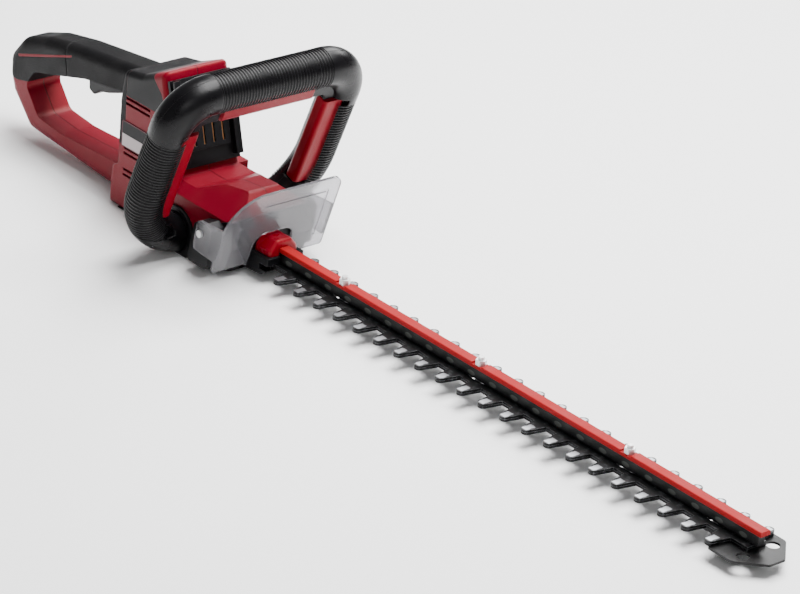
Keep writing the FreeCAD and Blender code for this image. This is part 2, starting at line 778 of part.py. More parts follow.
def housing_half(side):
    shell = outer_form.cut(hollow_form)
    shell = shell.cut(skin.common(joined([grip_region, collar_region])))
    posts = [screw_post(x, z, side) for x, z in screw_spots]
    keep_side = box(-500, 200, 0, 200, -100, 300)
    if side < 0:
        keep_side = box(-500, 200, -200, 0, -100, 300)
    half = shell.common(keep_side).multiFuse(posts)
    cuts = housing_cuts()
    for x, z in screw_spots:
        outer = body_half_width(x, z)
        head_face = outer - head_sink
        if side > 0:
            cuts.append(rod(screw_radius + fit_clearance, (x, 0, z), (0, 1, 0), head_face))
            cuts.append(rod(screw_head_radius + fit_clearance, (x, head_face, z), (0, 1, 0), 20))
        else:
            cuts.append(rod(screw_radius, (x, 0, z), (0, -1, 0), 10))
    half = half.cut(Part.makeCompound(cuts))
    return max(half.Solids, key=lambda solid: solid.Volume)


keep("housing_left", housing_half(1))
keep("housing_right", housing_half(-1))
keep("housing_screws", [joined([
    rod(screw_radius, (x, -9.5, z), (0, 1, 0), 9.5 + body_half_width(x, z) - head_sink),
    rod(screw_head_radius, (x, body_half_width(x, z) - head_sink, z), (0, 1, 0), 2.4)])
    for x, z in screw_spots])

label = plan_prism([(-209, 44, 2), (-172, 44, 2), (-172, 68, 2), (-209, 68, 2)], 0, 0.8)
label.rotate(Vector(0, 0, 0), Vector(1, 0, 0), 90)
keep("label_plate", moved(label, 0, -tower_half_width, 0))


# ---- battery slide ---------------------------------------------------------------------
def on_face(shape):
    """Stand an upright piece, drawn with its back at x = 0, on the battery face."""
    return leaned(shape, -battery_lean, tower_front_x, bay_floor_z)


def battery_rails():
    plate = box(fit_clearance, 3.0, -32.0, 32.0, 6.0, slide_top)
    plate = plate.cut(box(-1, 4, -22.0, 22.0, 20.0, 60.0))
    rails = []
    for side in (-1, 1):
        web = box(3.0, 9.0, 25.0, 28.0, 10.0, slide_top)
        lip = box(6.5, 9.0, 25.0, 31.5, 10.0, slide_top)
        rail = web.fuse(lip)
        rails.append(rail if side > 0 else rail.mirror(Vector(0, 0, 0), Vector(0, 1, 0)))
    return on_face(joined([plate] + rails))


def terminal_block():
    block = box(-9.0, 6.0, -21.6, 21.6, 20.4, 59.6)
    slots = [box(-2.0, 7.0, y - 1.2, y + 1.2, 24.0, 61.0) for y in (-15, -5, 5, 15)]
    return on_face(block.cut(Part.makeCompound(slots)))


keep("battery_rails", battery_rails())
keep("terminal_block", terminal_block())
keep("contact_blades", [on_face(box(-2.0, 5.0, y - 0.4, y + 0.4, 24.0, 50.0))
                        for y in (-15, -5, 5, 15)])

board_z = 4.0
keep("controller_board", box(-205.0, -158.0, -24.0, 24.0, board_z, board_z + 1.6)
     .cut(rod(screw_post_radius + 0.5, (-160.0, -30, 6.0), (0, 1, 0), 60)))
sink = box(-200.0, -172.0, -20.0, 20.0, board_z + 1.6, board_z + 14)
sink_gaps = [box(-201.0, -171.0, y - 1.6, y + 1.6, board_z + 4, board_z + 15)
             for y in (-15, -9, -3, 3, 9, 15)]
keep("heat_sink", sink.cut(Part.makeCompound(sink_gaps)))


# ---- trigger, its pin, spring and switch -----------------------------------------------
def trigger():
    lever = side_prism([
        (trigger_pivot_x + 5, trigger_pivot_z - 5, 2), (-246.0, 72.0, 4), (-268.0, 64.0, 16),
        (-280.0, 61.0, 8), (-289.0, 55.0, 3), (-296.0, 58.0, 3), (-297.0, 72.0, 3),
        (-296.0, 79.0, 2), (-262.0, 84.0, 8), (trigger_pivot_x - 4, trigger_pivot_z + 4, 3),
        (trigger_pivot_x + 5, trigger_pivot_z + 4, 3)], -trigger_width / 2, trigger_width / 2)
    lever = rounded_edges(lever, 2.0, lambda e: e.BoundBox.ZMax < 66 and e.BoundBox.YLength < 1)
    return lever.cut(rod(trigger_pin_radius + running_fit,
                         (trigger_pivot_x, -20, trigger_pivot_z), (0, 1, 0), 40))


def coil(radius, wire_radius, pitch, height, base):
    """Round-wire compression spring standing on base = (x, y, z)."""
    helix = Part.makeHelix(pitch, height, radius)
    section = Part.Wire(Part.makeCircle(wire_radius, Vector(radius, 0, 0), Vector(0, 1, 0)))
    spring = Part.Wire(helix.Edges).makePipeShell([section], True, True)
    return moved(spring, *base)


pin_half = loop_half_width - housing_wall
keep("trigger", trigger())
keep("trigger_pin", rod(trigger_pin_radius, (trigger_pivot_x, -pin_half, trigger_pivot_z),
                        (0, 1, 0), 2 * pin_half))
keep("trigger_spring", coil(2.2, 0.4, 1.6, 6.0, (-257.0, 0, 88.5)))
keep("rear_switch", joined([box(-292.0, -268.0, -8.0, 8.0, 87.0, 93.0),
                            box(-283.0, -277.0, -2.5, 2.5, 86.0, 87.0)]))


# ---- bow handle ------------------------------------------------------------------------
def bow_path_solid(radius):
    """Bent tube of the bow, upright in the plane x = 0, foot centre line at z = 0."""
    w = bow_half_width
    h = bow_height
    rt = bow_top_radius
    rb = bow_bottom_radius
    parts = [rod(radius, (0, -(w - rt), h), (0, 1, 0), 2 * (w - rt))]
    for side in (-1, 1):
        parts.append(rod(radius, (0, side * w, rb), (0, 0, 1), h - rt - rb))
        for centre_y, centre_z, bend, quarter in (
                (w - rt, h - rt, rt, 0), (w - rb, rb, rb, 270)):
            ring = Part.makeTorus(bend, radius, Vector(0, 0, 0), Vector(0, 0, 1), -180, 180, 90)
            turn = Rotation(Vector(1, 0, 0), 90).multiply(Rotation(Vector(0, 0, 1), 0))
            ring.Placement = Placement(Vector(0, 0, 0), Rotation(Vector(0, 0, 1), 90)
                                       .multiply(turn))
            ring.rotate(Vector(0, 0, 0), Vector(1, 0, 0), quarter)
            ring.translate(Vector(0, centre_y, centre_z))
            if side < 0:
                ring = ring.mirror(Vector(0, 0, 0), Vector(0, 1, 0))
            parts.append(ring)
        if w - rb > case_half_width:
            parts.append(rod(radius, (0, side * case_half_width, 0), (0, side, 0),
                             w - rb - case_half_width))
    return joined(parts)


inner_half_width = bow_half_width - switch_bar_reach
inner_top = bow_height - switch_bar_reach


def corner_web(side, thickness):
    """Plate that fills the bow's upper corner, level with the inner edges of the bars."""
    plate = front_prism([
        (inner_half_width, side_bar_top, 0), (bow_half_width - 4, side_bar_top, 0),
        (bow_half_width - 4, bow_height - 4, 20), (top_bar_half_length, bow_height - 4, 0),
        (top_bar_half_length, inner_top, 0), (inner_half_width, inner_top, 5)],
        -thickness, thickness)
    return plate if side > 0 else plate.mirror(Vector(0, 0, 0), Vector(0, 1, 0))


def lower_web(side, thickness):
    """Plate below a side bar, running out into the tube."""
    plate = front_prism([
        (inner_half_width, side_bar_bottom, 0), (bow_half_width - 6, side_bar_bottom, 0),
        (bow_half_width - 6, side_bar_bottom - 14, 0),
        (inner_half_width + 9, side_bar_bottom - 14, 0)], -thickness, thickness)
    return plate if side > 0 else plate.mirror(Vector(0, 0, 0), Vector(0, 1, 0))


def bar_block(which, grow, extra_depth):
    """Room or body of one switch bar; grow widens it all round, extra_depth runs it outward."""
    back = switch_bar_back - grow
    front = switch_bar_front + (20.0 if grow else 0.0)
    if which == "top":
        return box(back, front, -top_bar_half_length - grow, top_bar_half_length + grow,
                   inner_top - (1 if grow else 0), bow_height - switch_bar_depth + extra_depth)
    outer = bow_half_width - switch_bar_depth + extra_depth
    inner = inner_half_width - (1 if grow else 0)
    block = box(back, front, inner, outer, side_bar_bottom - grow, side_bar_top + grow)
    return block if which == "left" else block.mirror(Vector(0, 0, 0), Vector(0, 1, 0))


end_gap = 1.0                    # between the end of a bar and the web beside it


def switch_bar(which):
    block = bar_block(which, 0.0, 0.0)
    if which == "top":
        trim = box(-20, 20, -top_bar_half_length + end_gap, top_bar_half_length - end_gap,
                   0, 300)
    else:
        trim = box(-20, 20, -200, 200, side_bar_bottom + end_gap, side_bar_top - end_gap)
    block = block.common(trim)
    inner_edges = [e for e in block.Edges if on_inner_side(e, which)]
    return in_bow(block.makeFillet(4.0, inner_edges))


def on_inner_side(edge, which):
    bounds = edge.BoundBox
    if which == "top":
        return bounds.ZMax < inner_top + 1e-3 and bounds.YLength > 20
    reach = min(abs(bounds.YMin), abs(bounds.YMax))
    far = max(abs(bounds.YMin), abs(bounds.YMax))
    return far < inner_half_width + 1e-3 and reach > inner_half_width - 1e-3 \
        and bounds.ZLength > 20


def in_bow(shape):
    placed = leaned(shape, bow_lean, bow_foot_x, bow_foot_z)
    placed.translate(Vector(0, bow_offset, 0))
    return placed


def band_recess():
    """Shallow seat for the ribbed rubber, all round the grips but for their window side."""
    w = bow_half_width
    h = bow_height
    ring = bow_path_solid(bow_tube_radius + 1.0)
    ring = ring.cut(bow_path_solid(bow_tube_radius - rib_height))
    low = min(w - 2.0 * bow_tube_radius, top_band_half_length)
    sides = both_sides(box(-60, 60, low, 2 * w, side_band_bottom, side_band_top))
    top = box(-60, 60, -top_band_half_length, top_band_half_length, h / 2.0, h + 60)
    window = front_prism([(-w, 0, bow_bottom_radius), (w, 0, bow_bottom_radius),
                          (w, h, bow_top_radius), (-w, h, bow_top_radius)],
                         -band_gap_back, band_gap_front)
    return ring.common(joined(sides + [top])).cut(window)


def bow_solid():
    outer = bow_path_solid(bow_tube_radius)
    webs = [maker(side, web_half_thickness) for side in (-1, 1)
            for maker in (corner_web, lower_web)]
    outer = joined([outer] + webs)
    hollow = bow_path_solid(bow_tube_radius - bow_wall)
    outer = outer.cut(hollow).cut(band_recess())
    rooms = [bar_block(which, slot_clearance, bar_travel + 0.5)
             for which in ("top", "left", "right")]
    trimmed = outer.cut(Part.makeCompound(rooms))
    far = 300
    leg_end = case_half_width + 1.5
    inside = box(-far, far, -leg_end - bow_offset, leg_end - bow_offset, -far, 60)
    return trimmed.cut(inside)


def largest(shape):
    return max(shape.Solids, key=lambda solid: solid.Volume)


bow_ring = bow_solid()
keep("bow_front_shell", in_bow(largest(bow_ring.common(box(0, 60, -200, 200, -60, 250)))))
keep("bow_rear_shell", in_bow(largest(bow_ring.common(box(-60, 0, -200, 200, -60, 250)))))
for which in ("top", "left", "right"):
    keep("switch_bar_" + which, switch_bar(which))

spring_seat = bow_tube_radius - bow_wall - 0.6          # from the tube's centre line
spring_length = spring_seat + switch_bar_depth - bar_travel


def bar_spring(which, along):
    spring = coil(2.4, 0.4, 2.0, spring_length - 1.0, (0, 0, 0))
    outside = spring_seat - spring_length + 0.5
    if which == "top":
        spring.translate(Vector(0, along, bow_height + outside))
    else:
        turn = -90 if which == "left" else 90
        spring.rotate(Vector(0, 0, 0), Vector(1, 0, 0), turn)
        side = 1 if which == "left" else -1
        spring.translate(Vector(0, side * (bow_half_width + outside), along))
    return in_bow(spring)


def bar_switch(which, along):
    outside = bow_tube_radius - bow_wall - 8.0
    plunger = outside + switch_bar_depth - bar_travel
    size = joined([box(-5.0, 5.0, -8.0, 8.0, 0.0, 5.0),
                   box(-1.5, 1.5, -1.5, 1.5, -plunger, 0.0)])
    if which == "top":
        size.translate(Vector(0, along, bow_height + outside))
    else:
        size.rotate(Vector(0, 0, 0), Vector(1, 0, 0), -90 if which == "left" else 90)
        side = 1 if which == "left" else -1
        size.translate(Vector(0, side * (bow_half_width + outside), along))
    return in_bow(size)


side_middle = (side_bar_bottom + side_bar_top) / 2.0
keep("bar_springs", [bar_spring("top", y) for y in (-34.0, 34.0)]
     + [bar_spring(which, side_middle + dz) for which in ("left", "right")
        for dz in (-13.0, 30.0)])
keep("bar_switches", [bar_switch("top", 0.0), bar_switch("left", side_middle),
                      bar_switch("right", side_middle)])


def bow_boss(side):
    start = case_half_width + 1.2
    ring = rod(boss_radius, (bow_foot_x, side * start, bow_foot_z), (0, side, 0),
               motor_half_width + 3.0 - start)
    ring = ring.common(box(-300, 300, -200, 200, base_z, 200))
    leg = in_bow(bow_path_solid(bow_tube_radius + fit_clearance))
    return ring.cut(leg)


keep("bow_bosses", [bow_boss(side) for side in (-1, 1)])


# ---- lower cover, hood and guard -------------------------------------------------------
wing_reach = guard_half_width - guard_thickness - fit_clearance
snout_half_width = 19.0
hood_half_width = 15.0


def gear_cover():
    """Black cover round the gear case, its snout and the two wings that carry the guard."""
    block = side_prism([
        (-99.6, base_z, 0), (-56.0, base_z + 1.5, 4), (-51.0, -6.0, 0), (-44.0, 13.0, 0),
        (-44.0, 38.2, 0), (-61.7, 30.9, 6), (-90.7, -0.1, 4)],
        -motor_half_width, motor_half_width)
    for side in (-1, 1):
        corner = plan_prism([(-72, side * 46, 0), (-72, side * 43, 0), (-48, side * 24, 0),
                             (-40, side * 24, 0), (-40, side * 46, 0)], base_z - 1, -6.0)
        block = block.cut(corner)
    snout = side_prism([(-54, base_z + 5, 0), (-30, base_z + 7, 4), (-22, -4, 3), (-22, 7, 0),
                        (-54, 7, 0)], -snout_half_width, snout_half_width)
    wings = []
    for side in (-1, 1):
        y0, y1 = sorted((side * (motor_half_width - 2), side * wing_reach))
        wing = side_prism([(-84, -8, 4), (-58, -8, 4), (-52, 30, 3), (-60, 34, 3),
                           (-76, 30, 6)], y0, y1)
        wings.append(wing.cut(slab(motor_outline, motor_half_width + fit_clearance, 0.0, 0.0)))
    cover = joined([block, snout] + wings)
    cuts = [case_block(-fit_clearance, base_z + 2.0, roof_top + fit_clearance),
            box(case_front_x - 2, 0, -blade_tail - 1.2, blade_tail + 1.2,
                stack_bottom - sliding_gap, 1.0),
            box(-33.0, 0.0, -31.0, 31.0, stack_bottom - sliding_gap, sliding_gap)] + [
            rod(boss_radius + fit_clearance, (bow_foot_x, side * (case_half_width + 1.0),
                                              bow_foot_z), (0, side, 0), 40)
            for side in (-1, 1)] + [
            box(-60.0, 0, -bar_width / 2 - 0.2, bar_width / 2 + 0.2, 0, 8.0),
            rod(motor_radius + 1.0, (motor_x, 0, 0), (0, 0, 1), 60)]
    for side in (-1, 1):
        cuts.append(rod(1.6, (ear_screw_x, side * (wing_reach - 12), ear_screw_z),
                        (0, side, 0), 14))
    return largest(cover.cut(Part.makeCompound(cuts)))


def nose_hood():
    half = hood_half_width
    foot = 7.2
    profile = front_prism([(-half, foot, 0), (half, foot, 0), (half, 12.5, 6),
                           (half * 0.5, 21.0, 6), (-half * 0.5, 21.0, 6), (-half, 12.5, 6)],
                          -43.8, -24.0)
    front_edges = [e for e in profile.Edges if e.BoundBox.XMin > -24.01
                   and e.BoundBox.ZMax > foot + 0.5]
    profile = profile.makeFillet(3.5, front_edges)
    bar_room = box(bar_start - 0.2, 0, -bar_width / 2 - 0.2, bar_width / 2 + 0.2, 0,
                   bar_top + 0.2)
    return profile.cut(bar_room)


def hand_guard():
    w = guard_half_width
    h = guard_height
    panel = front_prism([(-w, 0, 3), (w, 0, 3), (w, h, guard_left_round),
                         (-w, h, guard_right_round)], 0, guard_thickness)
    mouth = front_prism([(-guard_mouth_half_width, -5, 0), (guard_mouth_half_width, -5, 0),
                         (guard_mouth_half_width, guard_mouth_height, 12),
                         (-guard_mouth_half_width, guard_mouth_height, 12)], -1, 5)
    groove_y = w - guard_groove_inset
    groove_z = h - guard_groove_inset
    groove_x = guard_thickness - guard_groove_depth
    grooves = [box(groove_x, 9, groove_y - guard_groove_width, groove_y, 14, groove_z),
               box(groove_x, 9, -w + guard_right_round, groove_y,
                   groove_z - guard_groove_width, groove_z)]
    panel = panel.cut(Part.makeCompound([mouth] + grooves))
    panel = leaned(panel, guard_lean, guard_foot_x, guard_foot_z)
    ears = []
    slope = math.tan(math.radians(guard_lean))
    for side in (-1, 1):
        foot_x = guard_foot_x + 1.0
        ear = [(foot_x + slope * 10, guard_foot_z + 10, 0),
               (foot_x + slope * 42, guard_foot_z + 42, 0),
               (ear_screw_x - 5, guard_foot_z + 40, 6), (ear_screw_x - 9, guard_foot_z + 20, 4),
               (ear_screw_x - 9, guard_foot_z + 12, 2)]
        y0, y1 = sorted((side * (w - guard_thickness), side * w))
        ears.append(side_prism(ear, y0, y1))
    guard = joined([panel] + ears)
    holes = [rod(1.8, (ear_screw_x, side * (w - 5), ear_screw_z), (0, side, 0), 10)
             for side in (-1, 1)]
    return guard.cut(Part.makeCompound(holes))


keep("gear_cover", gear_cover())
keep("nose_hood", nose_hood())
keep("hand_guard", hand_guard())
keep("guard_screws", [joined([
    rod(1.5, (ear_screw_x, side * (wing_reach - 10), ear_screw_z), (0, side, 0),
        10 + guard_half_width - wing_reach),
    rod(3.2, (ear_screw_x, side * guard_half_width, ear_screw_z), (0, side, 0), 2.0)])
    for side in (-1, 1)])

keep("rubber_feet", foot_pads)


# ---- one file a piece ------------------------------------------------------------------
os.makedirs("parts", exist_ok=True)
for name, solids in nodes.items():
    shape = solids[0] if len(solids) == 1 else Part.makeCompound(solids)
    shape = shape.copy()
    shape.translate(frame_shift)
    shape.exportStep("parts/" + name + ".step")
    print(name, len(solids), round(shape.Volume), shape.isValid())
print("frame shift", frame_shift)
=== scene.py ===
import itertools
import math

import bmesh
import bpy
from mathutils import Matrix, Vector


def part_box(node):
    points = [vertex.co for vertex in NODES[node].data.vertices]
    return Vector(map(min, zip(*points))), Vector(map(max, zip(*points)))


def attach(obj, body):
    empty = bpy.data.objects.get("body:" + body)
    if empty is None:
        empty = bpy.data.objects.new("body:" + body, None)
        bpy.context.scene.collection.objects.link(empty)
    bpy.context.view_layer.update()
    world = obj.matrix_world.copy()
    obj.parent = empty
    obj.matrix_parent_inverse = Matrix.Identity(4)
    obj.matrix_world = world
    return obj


bl_info = {
    "name": "Battery Hedge Trimmer",
    "version": (1, 0, 0),
    "blender": (4, 5, 0),
    "location": "3D View > Sidebar > Trimmer",
    "description": "Finishes, ribbed grips and studio of a battery hedge trimmer",
    "category": "Object",
}

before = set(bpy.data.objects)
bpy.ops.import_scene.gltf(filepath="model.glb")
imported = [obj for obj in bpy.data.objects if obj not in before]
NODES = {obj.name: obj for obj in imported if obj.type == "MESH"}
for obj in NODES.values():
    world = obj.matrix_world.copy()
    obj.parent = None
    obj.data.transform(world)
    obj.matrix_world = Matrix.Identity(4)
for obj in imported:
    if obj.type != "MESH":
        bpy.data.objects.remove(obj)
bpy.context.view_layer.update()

MM = 0.001


# ---- places read from the frame --------------------------------------------------------
FIRST_TOOTH_BEHIND_NOSE = 568.0 * MM
BOW_FOOT_BEHIND_TOOTH = 115.9 * MM
BOW_ASIDE = -4.0 * MM
BOW_FOOT_ABOVE_BLADE = 1.2 * MM
BOW_LEAN = math.radians(21.3)

FIRST_TOOTH_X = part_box("tip_guard")[1][0] - FIRST_TOOTH_BEHIND_NOSE
BLADE_TOP_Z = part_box("upper_blade")[1][2]
BOW_FOOT = Vector((FIRST_TOOTH_X - BOW_FOOT_BEHIND_TOOTH, BOW_ASIDE,
                   BLADE_TOP_Z + BOW_FOOT_ABOVE_BLADE))
BOW_TURN = Matrix.Translation(BOW_FOOT) @ Matrix.Rotation(BOW_LEAN, 4, "Y")

# ---- ribs of the bow -------------------------------------------------------------------
RIB_SINK = 0.05 * MM             # each rib's foot below its seat
RIB_SHOULDER = 0.3 * MM          # drop from the crest to the shoulder
RIB_HALF_SHARE = 0.36            # half a rib's foot, as a share of the pitch
SHOULDER_SHARE = 0.72            # where the shoulder stands on that half
CREST_SHARE = 0.25               # where the flat crest ends on that half
RIB_STEPS = 18
PLAIN_FRONT = math.radians(58)   # plain strip from the window's middle, towards the front
PLAIN_BACK = math.radians(38)
RIB_SWEEP = math.radians(360) - PLAIN_FRONT - PLAIN_BACK

# ---- teeth, spacer and label -----------------------------------------------------------
FACET_HALF = (2.5 * MM, 3.3 * MM)        # ground facet, half width, from full to none
FACET_START = (16.5 * MM, 18.0 * MM)     # distance from the middle line
FACET_END = (26.3 * MM, 27.3 * MM)
FACET_RAGGED = 0.5 * MM
WHOLE_TEETH = 40                         # keeps a fraction positive along the whole blade
DISH_SHEEN_HALF_LENGTH = 4.6 * MM              # painted sheen: paler ovals standing in for light caught by shallow dishes in the spacer's side
DISH_SHEEN_HALF_HEIGHT = 2.2 * MM
DISH_SHEEN_ABOVE_BLADE = 3.6 * MM
LABEL_SPLIT = 0.50
LABEL_RIM = 0.9 * MM
LABEL_RIM_SOFT = 1.2
LABEL_BLUR = 0.1 * MM

# ---- tones that several finishes share -------------------------------------------------
WHITE = (1.0, 1.0, 1.0)
WARM_GLOSS = (1.0, 0.40, 0.30)
DUST = (0.42, 0.40, 0.37, 1.0)
TONE_SPREAD = 0.10               # a moulding's patches, lighter and deeper than its colour
ROUGH_SPREAD = 0.05
RUBBED_KEEP = 0.6                # share of its own colour that a rubbed edge keeps
RUBBED_LIFT = 0.16
SEAM_SHARE = 0.12                # the parting line's colour as a share of the shell's
BRIGHT_EDGE = (0.8, 0.8, 0.8, 1.0)
BRIGHT_EDGE_AMOUNT = 0.4
DULL_SHARE = 0.72                # metal between its drawn marks
MARK_SPREAD = 0.08

# ---- studio ----------------------------------------------------------------------------
FLOOR_HALF = 6.0
FLOOR_DROP = 0.5 * MM
WORLD_STRENGTH = 0.24
LIGHTS = (                       # name, place, target, width, height, watts
    ("overhead", (0.1, 0.5, 1.8), (0.0, 0.0, 0.0), 1.8, 1.2, 140.0),
    ("front_left", (1.6, -1.6, 1.5), (-0.1, 0.0, 0.1), 1.0, 1.0, 12.0),
    ("far_side", (-0.8, 1.5, 1.2), (0.0, 0.0, 0.1), 1.2, 0.8, 34.0),
)
CAMERA_PLACE = (2.3026, -2.0210, 1.4918)
CAMERA_AZIMUTH = math.radians(48.2)
CAMERA_ELEVATION = math.radians(25.5)
CAMERA_ROLL = math.radians(4.7)
CAMERA_SENSOR = 36.0
CAMERA_REACH = 50.0


# ---- sizes and colours that a user can change ------------------------------------------
class TrimmerSizes(bpy.types.PropertyGroup):
    rib_pitch: bpy.props.FloatProperty(
        name="Rib pitch", description="From one grip rib to the next", default=3.0 * MM,
        unit="LENGTH")
    rib_height: bpy.props.FloatProperty(
        name="Rib height", description="Rib above its seat in the bow", default=0.8 * MM,
        unit="LENGTH")
    tube_radius: bpy.props.FloatProperty(
        name="Bow tube radius", description="Outer radius of the bow's tube",
        default=17.2 * MM, unit="LENGTH")
    bow_half_width: bpy.props.FloatProperty(
        name="Bow half width", description="Centre of a side run from the bow's middle",
        default=89.6 * MM, unit="LENGTH")
    bow_height: bpy.props.FloatProperty(
        name="Bow height", description="Foot centre line to top centre line",
        default=163.0 * MM, unit="LENGTH")
    lower_bend: bpy.props.FloatProperty(
        name="Lower bend radius", description="Centre line radius of the bow's lower bends",
        default=62.0 * MM, unit="LENGTH")
    side_bottom: bpy.props.FloatProperty(
        name="Side ribs bottom", description="Lowest rib on the sides", default=16.5 * MM,
        unit="LENGTH")
    side_top: bpy.props.FloatProperty(
        name="Side ribs top", description="Highest rib on the sides", default=124.8 * MM,
        unit="LENGTH")
    top_half: bpy.props.FloatProperty(
        name="Top ribs half length", description="Half the ribbed length of the top run",
        default=56.8 * MM, unit="LENGTH")
    tooth_pitch: bpy.props.FloatProperty(
        name="Tooth pitch", description="From one tooth to the next on one side",
        default=26.0 * MM, unit="LENGTH")
    edge_radius: bpy.props.FloatProperty(
        name="Edge radius", description="Apparent rounding of moulded edges",
        default=0.7 * MM, unit="LENGTH")
    camera_lens: bpy.props.FloatProperty(
        name="Lens", description="Focal length in millimetres", default=186.87, unit="CAMERA")


def colour(name, description, value):
    return bpy.props.FloatVectorProperty(name=name, description=description, default=value,
                                         subtype="COLOR", size=4, min=0.0, max=1.0)


class TrimmerColours(bpy.types.PropertyGroup):
    shell: colour("Shell", "Red moulded housing", (0.145, 0.0006, 0.010, 1.0))
    rubber: colour("Rubber", "Black soft grips", (0.0022, 0.0020, 0.0026, 1.0))
    dark: colour("Dark shell", "Black moulded covers", (0.0030, 0.0030, 0.0038, 1.0))
    bar: colour("Switch bar", "Red switch bars and nose hood", (0.19, 0.0008, 0.009, 1.0))
    coat: colour("Coat", "Red powder coat of the bar", (0.27, 0.006, 0.009, 1.0))
    blade: colour("Blade", "Black coat of the blades", (0.0030, 0.0030, 0.0034, 1.0))
    ground: colour("Ground steel", "Bare steel of the ground tooth facets", (0.34, 0.35, 0.37, 1.0))
    steel: colour("Steel", "Bright fasteners", (0.78, 0.78, 0.78, 1.0))
    label_dark: colour("Label dark", "Upper band of the label", (0.004, 0.004, 0.005, 1.0))
    label_pale: colour("Label pale", "Lower band of the label", (0.48, 0.42, 0.43, 1.0))
    guard: colour("Guard", "Smoky clear guard", (0.50, 0.49, 0.52, 1.0))
    floor: colour("Floor", "Pale studio floor", (0.90, 0.90, 0.90, 1.0))


def sizes():
    return bpy.context.scene.trimmer_sizes


def colours():
    return bpy.context.scene.trimmer_colours


# ---- node helpers ----------------------------------------------------------------------
def add(tree, kind, location=(0, 0), **settings):
    """New node with its sockets and settings given by name."""
    node = tree.nodes.new(kind)
    node.location = location
    for key, value in settings.items():
        setattr(node, key, value)
    return node


def wire(tree, source, target):
    """Link from one socket to another."""
    tree.links.new(source, target)


def sums(tree, operation, first, second=None):
    """Math node; each side is a socket or a number."""
    node = add(tree, "ShaderNodeMath", operation=operation)
    for socket, value in zip(node.inputs, (first, second)):
        if value is None:
            continue
        if isinstance(value, (int, float)):
            socket.default_value = value
        else:
            wire(tree, value, socket)
    return node.outputs[0]


def ramp(tree, source, low, high, start=0.0, end=1.0):
    """Smooth step of a value from low to high."""
    node = add(tree, "ShaderNodeMapRange", interpolation_type="SMOOTHSTEP")
    wire(tree, source, node.inputs["Value"])
    node.inputs["From Min"].default_value = low
    node.inputs["From Max"].default_value = high
    node.inputs["To Min"].default_value = start
    node.inputs["To Max"].default_value = end
    return node.outputs["Result"]


def blend_colours(tree, factor, first, second):
    """From the first colour to the second by a mask; each is a socket or four numbers."""
    node = add(tree, "ShaderNodeMix", data_type="RGBA")
    wire(tree, factor, node.inputs[0])
    for index, value in ((6, first), (7, second)):
        if hasattr(value, "is_output"):
            wire(tree, value, node.inputs[index])
        else:
            node.inputs[index].default_value = tuple(value)
    return node.outputs[2]


def noise(tree, vector, scale, detail=3.0):
    """Cloudy value between nought and one."""
    node = add(tree, "ShaderNodeTexNoise")
    node.inputs["Scale"].default_value = scale
    node.inputs["Detail"].default_value = detail
    node.inputs["Roughness"].default_value = 0.55
    wire(tree, vector, node.inputs["Vector"])
    return node.outputs[0]


def new_group(name, inputs, outputs):
    """Node group with its sockets; returns the tree, its input node and its output node."""
    tree = bpy.data.node_groups.new(name, "ShaderNodeTree")
    for socket, kind, default in inputs:
        item = tree.interface.new_socket(name=socket, in_out="INPUT", socket_type=kind)
        if default is not None:
            item.default_value = default
    for socket, kind in outputs:
        tree.interface.new_socket(name=socket, in_out="OUTPUT", socket_type=kind)
    return tree, add(tree, "NodeGroupInput"), add(tree, "NodeGroupOutput")


def use_group(tree, name, **values):
    """Places a node group; each value is a socket or a number."""
    node = add(tree, "ShaderNodeGroup", node_tree=bpy.data.node_groups[name])
    for key, value in values.items():
        socket = node.inputs[key]
        if hasattr(value, "is_output"):
            wire(tree, value, socket)
        else:
            socket.default_value = value
    return node


